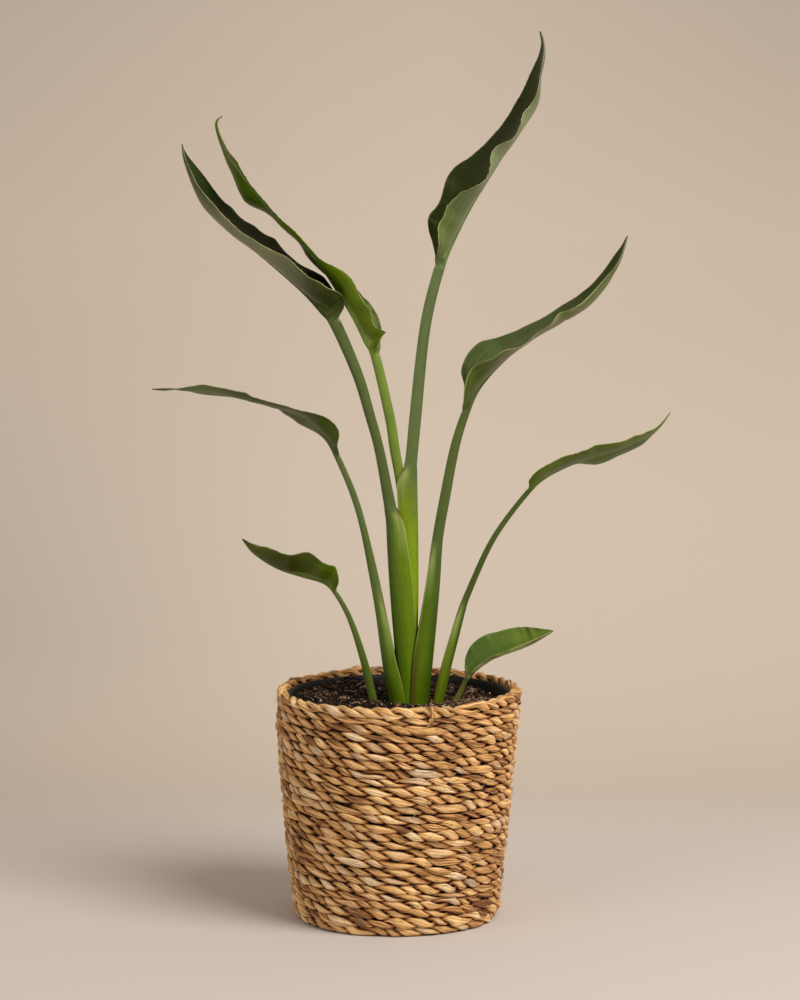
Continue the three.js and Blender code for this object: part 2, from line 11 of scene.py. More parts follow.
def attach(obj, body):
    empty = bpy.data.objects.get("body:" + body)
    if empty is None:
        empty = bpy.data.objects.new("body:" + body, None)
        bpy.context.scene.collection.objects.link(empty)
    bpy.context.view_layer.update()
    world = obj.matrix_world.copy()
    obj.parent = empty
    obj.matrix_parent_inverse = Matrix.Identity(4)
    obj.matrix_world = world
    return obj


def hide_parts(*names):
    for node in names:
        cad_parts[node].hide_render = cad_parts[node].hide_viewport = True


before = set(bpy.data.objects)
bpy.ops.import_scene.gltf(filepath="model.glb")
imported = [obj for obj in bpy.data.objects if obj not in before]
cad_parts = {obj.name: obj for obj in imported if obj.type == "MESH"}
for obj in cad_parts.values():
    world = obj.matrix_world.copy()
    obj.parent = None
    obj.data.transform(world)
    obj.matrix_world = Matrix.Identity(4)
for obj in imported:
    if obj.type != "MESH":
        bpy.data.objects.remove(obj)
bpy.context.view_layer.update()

bl_info = {
    "name": "Potted bird of paradise",
    "version": (1, 0, 0),
    "blender": (4, 5, 0),
    "location": "View3D > Sidebar > Plant",
    "description": "Grows a potted bird of paradise in its rope basket",
    "category": "Object",
}

MM = 0.001
TAU = 2 * np.pi

# ------------------------------------------------------------------ leaf tables
# Millimetres, as in the part's source. Each leaf is one line, its keel, from the
# soil up the back of the stalk and on along the underside of the blade's midrib.
# stalk: x, y, z, depth, width, wrap, wall. blade: x, y, z, near width, far width.
# The near half leans towards -Y, the far half towards +Y. near_edge and far_edge
# say how high the margin stands over the midrib at each thousandth of the blade:
# the less it rises, the more that half is spread.
# Colours are sRGB 0-255. under: outer face of the blade at its foot, middle and
# tip. inner: inner face at foot and tip. rib: midrib. stem: bare stalk, low and
# high. sheath: clasping base, low and at its lips.

LEAVES = {
    "left_low": {
        "side": -1,
        "stalk": [(-24, 2, 186, 7.4, 8, 105, 6), (-27.5, 2, 199, 7.4, 8, 105, 6),
            (-36, 1, 237, 6.8, 7, 105, 5.6), (-48, 0, 277, 5, 6, 105, 4.2),
            (-61, -1, 302, 4.2, 4.6, 105, 3.4)],
        "blade": [(-61, -1, 302, 3, 3), (-71, -2, 312, 24, 22), (-90, -3, 318, 26, 25),
            (-111, -4, 325, 23, 23), (-127, -4, 334, 18, 18), (-138, -5, 343, 11, 11),
            (-146, -5, 354, 0.6, 0.6)],
        "near_edge": [(0, 2), (30, 4.5), (70, 8.5), (110, 13.5), (150, 19), (170, 20.6), (190, 19),
            (240, 20), (300, 23.5), (350, 24.7), (390, 23), (420, 20.5), (460, 18), (550, 16),
            (610, 15.6), (740, 12.6), (860, 7.5), (920, 3.6), (1000, 0)],
        "far_edge": [(0, 2), (100, 9), (200, 14), (350, 17), (500, 12), (800, 7), (1000, 0)],
        "under": ((72, 95, 2), (50, 58, 6), (70, 80, 22)),
        "inner": ((40, 50, 8), (50, 60, 14)),
        "rib": (92, 112, 40), "stem": ((88, 110, 36), (92, 108, 52)),
        "sheath": ((106, 124, 20), (116, 134, 36)),
    },
    "left_middle": {
        "side": -1,
        "stalk": [(-8, 0, 186, 15, 21.4, 114, 2.4), (-10, 0, 204, 15.5, 22, 114, 2.6),
            (-13, 0, 220, 15.2, 21.6, 112, 2.8), (-16.4, 0, 240, 13.4, 17.6, 110, 3.8),
            (-22, 0, 283, 10, 11.6, 108, 5.6), (-27.5, 0, 316, 8.6, 9.2, 105, 6.8),
            (-36, 0, 361, 6.4, 7.2, 105, 5.2), (-45, 1, 393, 6, 6.4, 105, 5),
            (-59, 2, 427, 5.4, 5.6, 105, 4.4)],
        "blade": [(-59, 2, 427, 3.4, 3.4), (-70, 3, 447, 24, 22), (-93, 4, 469, 30, 28),
            (-118, 5, 476.5, 30, 29), (-150, 6, 484.5, 28, 27), (-180, 7, 488, 21, 21),
            (-205, 8, 492, 11, 11), (-229, 8, 492, 0.6, 0.6)],
        "near_edge": [(0, 1.5), (40, 2.5), (75, 4.7), (120, 13.5), (150, 15.8), (190, 15.9),
            (220, 13), (275, 6), (310, 4), (400, 4.8), (500, 5.2), (515, 5.4), (535, 8), (550, 6.8),
            (600, 7.4), (700, 9.2), (730, 8.9), (780, 5.4), (830, 2.2), (880, -0.2), (930, -1.4),
            (1000, 0)],
        "far_edge": [(0, 1), (80, 1), (140, -1.5), (180, -3), (235, -8.4), (270, -10.4),
            (330, -8.8), (370, -5.4), (400, -1.3), (460, -1.9), (600, -1.5), (800, -1), (1000, 0)],
        "under": ((56, 74, 8), (50, 64, 18), (90, 104, 62)),
        "inner": ((30, 42, 8), (40, 50, 16)),
        "rib": (70, 92, 40), "stem": ((84, 106, 45), (91, 108, 57)),
        "sheath": ((58, 82, 0), (78, 110, 0)),
    },
    "left_high": {
        "side": -1, "teeth": 0.8,
        "stalk": [(-2.5, 0, 186, 17.4, 17.8, 150, 1.8), (-3, 0, 210, 18.4, 18.6, 150, 2),
            (-4.5, 0, 250, 21, 20.6, 148, 2.6), (-7.4, 0, 285, 22, 21.6, 136, 3.4),
            (-9.8, 0, 318, 22, 21.6, 122, 4.6), (-11.4, 0, 346, 19.6, 20.6, 106, 6),
            (-12.4, 0, 368, 17, 18.8, 94, 7.6), (-13.8, 0, 380, 12, 15, 96, 8.8),
            (-15.2, 0, 391, 10.6, 11, 105, 8.8), (-23, 0, 436, 9, 10, 105, 7.4),
            (-31.2, 0, 466, 9.2, 9.8, 105, 7.6), (-43.2, 1, 504.8, 9.8, 9.8, 105, 8),
            (-63.8, 2, 551, 10.8, 10, 105, 8.8)],
        "blade": [(-63.8, 2, 551, 5, 5), (-73, 2, 563, 27, 22), (-88.6, 2, 580.4, 33, 30),
            (-108.4, 2, 598.5, 36, 35), (-132.6, 1, 619, 38, 37), (-160, 0, 640.5, 36, 36),
            (-180.5, -1, 661, 30, 30), (-190.5, -2, 683, 22, 22), (-197.5, -3, 703, 12, 12),
            (-199.5, -3, 718, 0.6, 0.6)],
        "near_edge": [(0, 1), (15, 5), (36, 13.5), (55, 18), (90, 21), (120, 23), (140, 22.5),
            (180, 19), (215, 18.5), (250, 14.5), (310, 15), (360, 15.8), (400, 12.4), (440, 9.5),
            (510, 7.2), (575, 8.5), (650, 9.7), (700, 8.5), (770, 4.2), (860, 3), (940, 1),
            (1000, 0)],
        "far_edge": [(0, 1), (50, 10), (120, 17), (170, 21), (215, 23), (260, 19.5), (310, 15.5),
            (370, 15.5), (400, 17), (427, 19.6), (443, 16.4), (470, 15.7), (500, 16.8), (512, 15),
            (550, 14.6), (591, 17), (605, 15.6), (690, 15.4), (740, 13.4), (820, 8.8), (900, 4),
            (960, 0.5), (1000, 0)],
        "under": ((48, 59, 14), (111, 116, 84), (68, 79, 42)),
        "inner": ((16, 24, 1), (30, 46, 5)),
        "rib": (56, 68, 30), "stem": ((76, 94, 42), (87, 102, 57)),
        "sheath": ((70, 100, 0), (98, 123, 18)),
    },
    "youngest": {
        "side": -1, "teeth": 0.9,
        "stalk": [(4.4, 0, 186, 5.2, 5.2, 105, 4.6), (3.6, 0, 250, 6.4, 6.4, 105, 5.6),
            (1.8, 0, 315, 7.6, 7.4, 105, 6.6), (0.6, 0, 362, 8, 8, 105, 7),
            (-0.6, 0, 384, 8.6, 8.4, 105, 7.4), (-4, 0, 410, 9, 9, 105, 7.6),
            (-9, 1, 437, 9.4, 9, 105, 7.8), (-13.4, 2, 466, 9.2, 9, 105, 7.6),
            (-26, 4, 521, 8.8, 8.6, 105, 7.2)],
        "blade": [(-26, 4, 521, 4.4, 4.4), (-32.8, 4, 535.8, 21, 20), (-42.6, 4, 556.2, 27, 27),
            (-58, 4, 582.4, 30, 29), (-78, 4, 612, 26, 26), (-105, 5, 641, 24, 24),
            (-125, 6, 665, 24, 24), (-142, 7, 686, 20, 21), (-158, 8, 708, 13, 13),
            (-167.5, 8, 735, 4, 4), (-163, 8, 744, 0.6, 0.6)],
        "near_edge": [(0, 1.5), (28, 1.6), (40, 4.2), (52, 8.8), (67, 13.8), (84, 17.2),
            (100, 18.8), (114, 18.4), (126, 16), (138, 13.6), (170, 13.7), (200, 18), (235, 16),
            (265, 16.2), (305, 18), (330, 16.5), (350, 13), (390, 3.5), (430, 3.6), (475, 4.3),
            (540, 1.5), (660, 0.7), (715, 2), (765, 4.3), (820, 1.7), (880, 0), (1000, 0)],
        "far_edge": [(0, 2), (50, 8), (100, 14), (127, 17), (170, 20), (225, 19.6), (250, 16.2),
            (275, 16.5), (320, 6), (360, -2), (410, -5), (435, -3.5), (450, -0.4), (520, -2.7),
            (555, -3.4), (585, -7.6), (620, -13), (645, -15), (690, -12.8), (750, -7.2),
            (820, -3.3), (900, -2.5), (1000, 0)],
        "under": ((97, 118, 20), (100, 126, 16), (88, 108, 15)),
        "inner": ((60, 84, 2), (80, 116, 2)),
        "rib": (132, 156, 70), "stem": ((99, 120, 18), (120, 143, 60)),
        "sheath": ((82, 116, 0), (102, 136, 0)),
    },
    "top": {
        "side": 1, "teeth": 1.6,
        "stalk": [(14.6, 0, 186, 12.4, 12.6, 130, 3), (15.4, 0, 210, 13, 13.4, 130, 3.4),
            (16.8, 0, 250, 14.6, 15, 130, 4.4), (17.8, 0, 300, 17, 16.2, 130, 5.6),
            (17.8, 0, 350, 18.6, 15, 130, 6.4), (17.2, 0, 385, 18.6, 14, 130, 6.6),
            (16.8, 0, 404, 19, 13.4, 122, 7), (16.7, 0, 416, 14.6, 12.8, 110, 8.4),
            (16.8, 0, 428, 11.2, 11.2, 105, 9.2), (20.4, 0, 466, 11.2, 11.2, 105, 9.2),
            (26.2, 0, 529, 10.2, 10.8, 105, 8.4), (32, 0, 566, 10, 10.4, 105, 8.2),
            (41.5, 0, 603, 9.6, 9.8, 105, 8)],
        "blade": [(41.5, 0, 603, 5, 5), (49.5, 0, 625, 33, 33), (68, -1, 662, 41, 42),
            (90, -2, 698, 43, 43), (110, -3, 727, 40, 40), (125.8, -4, 752.5, 34, 34),
            (129.8, -5, 780, 24, 24), (133, -6, 805, 12, 12), (129, -6, 820, 0.6, 0.6)],
        "near_edge": [(0, 2), (50, 4), (80, 6), (115, 9.3), (146, 14.7), (168, 19.8), (186, 17.8),
            (217, 20.4), (245, 17), (265, 15), (290, 8), (318, 2.3), (336, 1.7), (355, 3),
            (396, 11.4), (412, 10.7), (435, 8.7), (454, 4.7), (475, 1.4), (503, 2.4), (545, 4.6),
            (560, 8), (580, 7.4), (610, 5.6), (650, 4.4), (690, 1.9), (760, 0.8), (850, 0.4),
            (1000, 0)],
        "far_edge": [(0, 2), (50, 5), (93, 11.6), (116, 17), (135, 23), (170, 30.6), (203, 27),
            (225, 27.2), (250, 30), (280, 32.5), (313, 31), (350, 24), (400, 19.3), (480, 16.4),
            (530, 16.3), (580, 17.4), (620, 17), (670, 14.8), (730, 10), (820, 4.5), (920, 1.6),
            (1000, 0.3)],
        "under": ((91, 107, 55), (112, 124, 86), (91, 102, 72)),
        "inner": ((33, 43, 4), (37, 48, 12)),
        "rib": (108, 126, 74), "stem": ((82, 98, 45), (90, 105, 65)),
        "sheath": ((122, 149, 0), (90, 108, 28)),
    },
    "right_high": {
        "side": 1, "withered": 0.8,
        "stalk": [(26, 0, 186, 16.4, 21.4, 110, 2.6), (28, 0, 205, 17, 22, 110, 2.8),
            (31.8, 0, 243, 18.6, 22.4, 112, 3.4), (35.2, 0, 279, 15.8, 17.4, 114, 4.6),
            (38, 0, 313, 13, 13.2, 112, 5.4), (39.6, 0, 340, 11, 11.2, 108, 6.8),
            (41.2, 0, 358, 9.8, 10.4, 105, 8), (47, 0, 391, 9.6, 10, 105, 7.8),
            (55.4, -1, 437, 8.6, 9, 105, 7.2), (64.5, -1, 469, 7.4, 7.6, 105, 6.2)],
        "blade": [(64.5, -1, 469, 4, 4), (75, -2, 493, 30, 30), (95, -2, 516.5, 37, 37),
            (120, -3, 537.5, 38, 38), (147, -4, 554, 37, 37), (173.4, -5, 569.8, 33, 33),
            (191, -6, 588.6, 25, 25), (202.6, -6, 611.6, 13, 13), (210, -6, 634, 0.6, 0.6)],
        "near_edge": [(0, 2), (54, 4.8), (90, 9), (140, 15.5), (170, 18), (185, 17.5), (217, 13.7),
            (242, 10.3), (300, 8.5), (320, 4.4), (340, 2), (375, 0.8), (394, 1.8), (420, 4.2),
            (457, 3.4), (480, 4.4), (497, 6.2), (518, 9.6), (528, 9), (548, 6.8), (600, 6.4),
            (650, 7.2), (700, 7.4), (745, 7), (795, 5), (860, 1.2), (920, 0.2), (1000, 0)],
        "far_edge": [(0, 2), (60, 4), (107, 11.3), (131, 20), (165, 24.8), (200, 27.5), (240, 27),
            (254, 25.4), (276, 20.5), (300, 16.7), (353, 11.6), (440, 8.6), (490, 8.6), (550, 10.2),
            (640, 10.4), (700, 9.4), (760, 8.8), (830, 7), (893, 5), (940, 2), (1000, 0)],
        "under": ((68, 84, 23), (100, 107, 62), (84, 100, 49)),
        "inner": ((74, 88, 46), (54, 68, 18)),
        "rib": (88, 106, 54), "stem": ((59, 77, 28), (78, 94, 48)),
        "sheath": ((53, 79, 0), (60, 89, 0)),
    },
    "right_middle": {
        "side": 1, "teeth": 0.6, "withered": 0.6,
        "stalk": [(38.6, 5, 186, 9.4, 13, 112, 3), (42.6, 5, 205, 9.8, 13.4, 112, 3.2),
            (48, 5, 230, 9.4, 12.6, 112, 3.4), (55, 5, 258, 8.4, 10.6, 112, 3.6),
            (61.4, 5, 284, 7, 8.8, 108, 4.4), (66.4, 5, 300, 5.8, 7.4, 105, 4.6),
            (84, 6, 341, 5.2, 5.8, 105, 4.2), (99.5, 7, 367, 4.8, 5.2, 105, 3.8),
            (122, 8, 396, 4.4, 4.8, 105, 3.6)],
        "blade": [(122, 8, 396, 2.6, 2.6), (136, 8, 409, 20, 20), (156, 9, 419.5, 26, 25),
            (178, 10, 428, 27, 27), (200, 11, 434, 25, 25), (219, 12, 442, 20, 20),
            (235, 12, 451, 13, 13), (252, 12, 470, 0.6, 0.6)],
        "near_edge": [(0, 2), (35, 5.3), (80, 8), (125, 10.1), (170, 11), (290, 11.8), (350, 10.2),
            (420, 10.2), (460, 11.9), (550, 10.1), (610, 8.3), (670, 7.4), (720, 7.6), (780, 6),
            (845, 5), (890, 2), (930, 0.5), (1000, 0)],
        "far_edge": [(0, 1), (100, 3), (200, 2), (300, -0.5), (370, -2.9), (450, -10.4),
            (500, -10.6), (580, -7.8), (670, -7.6), (770, -5.6), (850, -2.3), (930, -2), (1000, 0)],
        "under": ((82, 102, 23), (73, 91, 16), (84, 98, 39)),
        "inner": ((56, 74, 20), (56, 74, 22)),
        "rib": (88, 106, 44), "stem": ((50, 70, 17), (65, 82, 29)),
        "sheath": ((78, 98, 3), (113, 132, 46)),
    },
    "right_low": {
        "side": 1, "pucker": 0.12, "evenness": 0.85,
        "stalk": [(50, 8, 186, 5.6, 6, 105, 4.6), (54.5, 8, 197, 5.4, 5.6, 105, 4.4),
            (60, 7, 209, 4.6, 5, 105, 3.8), (65, 6, 220.5, 4.2, 4.6, 105, 3.4)],
        "blade": [(65, 6, 220.5, 2.6, 2.6), (73.5, 5, 230, 16, 18.4), (87, 4, 240, 21, 24),
            (103, 2, 247.7, 23, 22.8), (118, 0, 252.8, 20, 20.2), (130.5, -2, 259, 13, 14.2),
            (143.5, -3, 267.5, 0.6, 0.6)],
        "near_edge": [(0, 1), (55, 2.7), (110, 2.6), (180, 4.2), (250, 4.7), (380, 4.9), (510, 4),
            (660, 4.7), (760, 4.6), (840, 3.7), (910, 1.9), (1000, 0)],
        "far_edge": [(0, 1), (50, 5.4), (100, 9.5), (140, 13.6), (180, 15.9), (220, 18.5),
            (256, 19.7), (300, 20.6), (370, 20.6), (440, 18.5), (560, 17.8), (640, 16.9), (770, 14),
            (870, 9.6), (930, 4.8), (1000, 0)],
        # painted light: the outer face's foot colour is far paler than the blade, to lighten a part
        # that lies in shade
        "under": ((216, 228, 146), (138, 162, 77), (78, 88, 32)),
        "inner": ((76, 100, 38), (98, 118, 39)),
        "rib": (120, 140, 70), "stem": ((118, 117, 50), (104, 111, 50)),
        "sheath": ((92, 100, 34), (92, 104, 36)),
    },
}

# sections of stalks and blades, in mm or as shares
SHEATH_EDGE = 0.9
SHEATH_WALL = 0.5
SOLID_WALL = 0.72
BLADE_THICKNESS = 0.8
MARGIN_THICKNESS = 0.34
MARGIN_FROM = 0.94
RIB_ROOT = 0.75
RIB_DEPTH = 1.5
RIB_FADE = 0.22
RIB_TAPER = 0.6
BLADE_BOW = 0.1
FLARE = 7
WAX_TINT = (1.0, 1.0, 0.4)
FRONT = np.array([0.0, -1.0, 0.0])

# points round a stalk's half section, across half a blade and under its midrib
STALK_ARC = 30
BLADE_COLUMNS = np.array([0, 0.08, 0.18, 0.3, 0.42, 0.54, 0.66, 0.77, 0.86, 0.93, 0.97, 1.0])
RIB_POINTS = 7

# points round a strand, sections in one twist, strands in a rope
STRAND_POINTS = 16
STEPS_PER_LAY = 16
STRANDS = 2
ROW_SAMPLES = 512

# rope: how much the rows press into each other, how far the lowest one is tucked
# in, how much painted shade darkens the rim at the back, where the tie sits and its thickness
ROW_OVERLAP = 1.2
FOOT_TUCK = 1.2 * MM
RIM_BACK_SHADE = 0.15
TIE_HEADING = math.radians(-75.5)
TIE_THICKNESS = 1.1 * MM
FLOOR_PITCH = 8.6 * MM

SIDES_OF_POT = 144
SIDES_OF_SOIL = 150
RINGS_OF_SOIL = 62
BASKET_SEED = 11
SOIL_SEED = 23

CAMERA_AT = (0.000653, -2.8, 0.674)
CAMERA_DOWN = 5.789
LIT_POINT = (0, 0, 0.38)
WORLD_LIGHT = 0.32

# --------------------------------------------------------------------- settings


def length_mm(name, description, default):
    return FloatProperty(
        name=name, description=description, default=default * MM, unit="LENGTH", precision=4
    )


def amount(name, description, default):
    return FloatProperty(name=name, description=description, default=default)


def whole(name, description, default):
    return IntProperty(name=name, description=description, default=default, min=4)


def linear(color):
    """Linear value of an sRGB colour given as 0-255."""
    parts = [c / 255 for c in color]
    return tuple(p / 12.92 if p <= 0.04045 else ((p + 0.055) / 1.055) ** 2.4 for p in parts)


def color_rgb(name, description, color):
    return FloatVectorProperty(
        name=name, description=description, default=linear(color), subtype="COLOR", min=0, max=1
    )


class BasketSettings(bpy.types.PropertyGroup):
    """Sizes and colours of the rope basket."""

    rows: whole("Rows", "Rope rows in the wall", 26)
    height: length_mm("Height", "Height of the wall", 215)
    top_radius: length_mm("Rim radius", "Outer radius at the rim", 115.5)
    foot_radius: length_mm("Foot radius", "Outer radius at the foot", 97)
    belly: length_mm("Belly", "How far the wall stands out of a straight taper", 1.5)
    lean: length_mm("Lean", "How far off centre the foot is along X", -2.6)
    tilt: length_mm("Tilt", "How much the rim rises at the back and sinks in front", 1.6)
    lay: length_mm("Lay", "Length of one full twist of the rope", 38)
    wander: length_mm("Wander", "Unevenness of the rows' height", 0.9)
    wisps: whole("Wisps", "Loose ends of grass", 260)
    straw: color_rgb("Straw", "Middle colour of the grass", (204, 152, 92))
    pale: color_rgb("Pale straw", "Sun-bleached strands", (244, 218, 176))
    brown: color_rgb("Brown straw", "Darkest strands", (128, 84, 44))


class PotSettings(bpy.types.PropertyGroup):
    """Sizes and colour of the nursery pot."""

    rim_radius: length_mm("Rim radius", "Outer radius of the rim", 104.4)
    top_radius: length_mm("Top radius", "Radius of the wall at the top", 101)
    foot_radius: length_mm("Foot radius", "Radius of the foot", 77)
    top: length_mm("Top", "Height of the rim", 210.5)
    bottom: length_mm("Bottom", "Height of the underside", 9.3)
    wall: length_mm("Wall", "Thickness of the wall", 1.2)
    rim_height: length_mm("Rim height", "Height of the rim's band", 16)
    plastic: color_rgb("Plastic", "Colour of the moulded plastic", (17, 16, 16))


class SoilSettings(bpy.types.PropertyGroup):
    """Height, grains and colours of the potting soil."""

    top: length_mm("Top", "Height of the soil's surface", 199.5)
    crumbs: whole("Crumbs", "Loose crumbs of peat", 2600)
    bark: whole("Bark", "Bark chips", 560)
    fibres: whole("Fibres", "Coir fibres", 260)
    perlite: whole("Perlite", "White perlite grains", 330)
    dark: color_rgb("Dark soil", "Damp peat", (40, 28, 20))
    light: color_rgb("Light soil", "Dry bark and fibre", (146, 114, 88))


class LeafSettings(bpy.types.PropertyGroup):
    """Finish of the leaves and stalks."""

    step: length_mm("Step", "Spacing of the sections along a blade", 1.15)
    thickness: length_mm("Thickness", "Thickness of a blade", BLADE_THICKNESS)
    serration: length_mm("Serration", "Depth of the ragged teeth along a margin", 1.0)
    gloss: amount("Gloss", "Roughness of the waxy skin", 0.39)


class StageSettings(bpy.types.PropertyGroup):
    """Floor, light and camera."""

    floor: color_rgb("Floor", "Pale floor", (212, 201, 192))
    wall: color_rgb("Wall", "Warm backdrop", (212, 197, 180))
    key: amount("Key", "Power of the soft key light", 102)
    fill: amount("Fill", "Power of the fill light", 19)
    focal: amount("Focal length", "In millimetres", 109.27)


class PlantSettings(bpy.types.PropertyGroup):
    """All settings of the potted plant."""

    basket: PointerProperty(type=BasketSettings)
    pot: PointerProperty(type=PotSettings)
    soil: PointerProperty(type=SoilSettings)
    leaf: PointerProperty(type=LeafSettings)
    stage: PointerProperty(type=StageSettings)


def settings():
    return bpy.context.scene.plant


# ----------------------------------------------------------------- mesh helpers


def smoothstep(x, low, high):
    t = np.clip((np.asarray(x, float) - low) / (high - low), 0, 1)
    return t * t * (3 - 2 * t)


def unit(v):
    return v / np.maximum(np.linalg.norm(v, axis=-1, keepdims=True), 1e-12)


def catmull(rows, u):
    """Rows of a table at the fractions u along it, on a Catmull-Rom curve."""
    rows = np.asarray(rows, float)
    last = len(rows) - 1
    at = np.clip(np.asarray(u, float) * last, 0, last - 1e-9)
    i = at.astype(int)
    t = (at - i)[:, None]
    a, b, c, d = (rows[np.clip(i + k, 0, last)] for k in (-1, 0, 1, 2))
    return b + 0.5 * t * (c - a + t * (2 * a - 5 * b + 4 * c - d + t * (3 * (b - c) + d - a)))


def waves(rng, x, count, first=1):
    """Smooth noise with period 1 along x: a few sine waves of random phase."""
    total = np.zeros_like(x, dtype=float)
    for k in range(first, first + count):
        total += rng.normal(0, 1) * np.sin(TAU * (k * x + rng.random()))
    return total / math.sqrt(count)


def turns_of(points):
    """Angles of so many points evenly spaced round a circle."""
    return np.linspace(0, TAU, points, endpoint=False)


def sections(path, right, up, x, y):
    """A ring at each point of a path: x along its right and y along its up."""
    return path[:, None] + right[:, None] * x[..., None] + up[:, None] * y[..., None]


def radial(angle):
    return np.stack([np.cos(angle), np.sin(angle), np.zeros(len(angle))], 1)


def deselect():
    if bpy.context.object and bpy.context.object.mode != "OBJECT":
        bpy.ops.object.mode_set(mode="OBJECT")
    bpy.ops.object.select_all(action="DESELECT")


def put_points(obj, points):
    obj.data.vertices.foreach_set("co", np.asarray(points, np.float32).ravel())
    obj.data.update()


def add_values(obj, name, values):
    attribute = obj.data.attributes.new(name, "FLOAT", "POINT")
    attribute.data.foreach_set("value", np.asarray(values, np.float32).ravel())


def mesh_object(name, points, faces):
    mesh = bpy.data.meshes.new(name)
    mesh.from_pydata(np.concatenate(points).tolist(), [], faces)
    obj = bpy.data.objects.new(name, mesh)
    bpy.context.scene.collection.objects.link(obj)
    return obj


def lay_uv(obj, columns, scale):
    """UV map in metres of an unwrapped grid: U along the piece, V around it."""
    mesh = obj.data
    loops = np.zeros(len(mesh.loops), int)
    mesh.loops.foreach_get("vertex_index", loops)
    uv = np.stack([loops // columns * scale[0], loops % columns * scale[1]], 1)
    layer = mesh.uv_layers.active or mesh.uv_layers.new(name="UVMap")
    layer.data.foreach_set("uv", uv.astype(np.float32).ravel())


def sleeve(name, rings, values, closed=False):
    """A closed skin over rings of points, from a grid that is wrapped round them."""

    def wrap(grid):
        grid = np.concatenate([grid, grid[:, :1]], 1)
        return np.concatenate([grid, grid[:1]]) if closed else grid

    shape = rings.shape[:2]
    rings = wrap(rings)
    rows, columns = rings.shape[:2]
    deselect()
    bpy.ops.mesh.primitive_grid_add(x_subdivisions=columns - 1, y_subdivisions=rows - 1, size=1)
    obj = bpy.context.object
    obj.name = obj.data.name = name
    put_points(obj, rings)
    length = np.linalg.norm(np.diff(rings.mean(1), axis=0), axis=1).mean()
    girth = np.linalg.norm(np.diff(rings, axis=1), axis=2).mean()
    lay_uv(obj, columns, (length, girth))
    for key, value in values.items():
        add_values(obj, key, wrap(np.broadcast_to(value, shape)))
    bpy.ops.object.mode_set(mode="EDIT")
    bpy.ops.mesh.select_all(action="SELECT")
    bpy.ops.mesh.remove_doubles(threshold=1e-7)
    if not closed:
        bpy.ops.mesh.fill_holes(sides=0)
        bpy.ops.mesh.select_all(action="SELECT")
    bpy.ops.mesh.normals_make_consistent(inside=False)
    bpy.ops.object.mode_set(mode="OBJECT")
    return obj


def join(name, objects):
    deselect()
    for obj in objects:
        obj.select_set(True)
    bpy.context.view_layer.objects.active = objects[0]
    bpy.ops.object.join()
    piece = bpy.context.object
    piece.name = piece.data.name = name
    return piece


def finish_piece(obj, material, node, angle=None):
    """Smooth shading, material, body and the node that the piece stands for."""
    deselect()
    obj.select_set(True)
    bpy.context.view_layer.objects.active = obj
    if angle is None:
        bpy.ops.object.shade_smooth()
    else:
        bpy.ops.object.shade_smooth_by_angle(angle=math.radians(angle))
    obj.data.materials.clear()
    obj.data.materials.append(material)
    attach(obj, "root")
    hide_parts(node)


# -------------------------------------------------------------- shader helpers


class Value:
    """What a node gives, which sums and products turn into further math nodes."""

    def __init__(self, shader, socket):
        self.shader, self.socket = shader, socket

    def math(self, operation, other=0.0):
        return self.shader.add("Math", {0: self, 1: other}, operation=operation)

    def __add__(self, other):
        return self.math("ADD", other)

    def __sub__(self, other):
        return self.math("SUBTRACT", other)

    def __mul__(self, other):
        return self.math("MULTIPLY", other)

    def __truediv__(self, other):
        return self.math("DIVIDE", other)

    def __abs__(self):
        return self.math("ABSOLUTE")

    def range(self, low, high, to_low=0.0, to_high=1.0, smooth=False):
        names = ("Value", "From Min", "From Max", "To Min", "To Max")
        inputs = dict(zip(names, (self, low, high, to_low, to_high)))
        kind = "SMOOTHSTEP" if smooth else "LINEAR"
        return self.shader.add("MapRange", inputs, interpolation_type=kind)

    def step(self, low, high, to_low=0.0, to_high=1.0):
        return self.range(low, high, to_low, to_high, smooth=True)


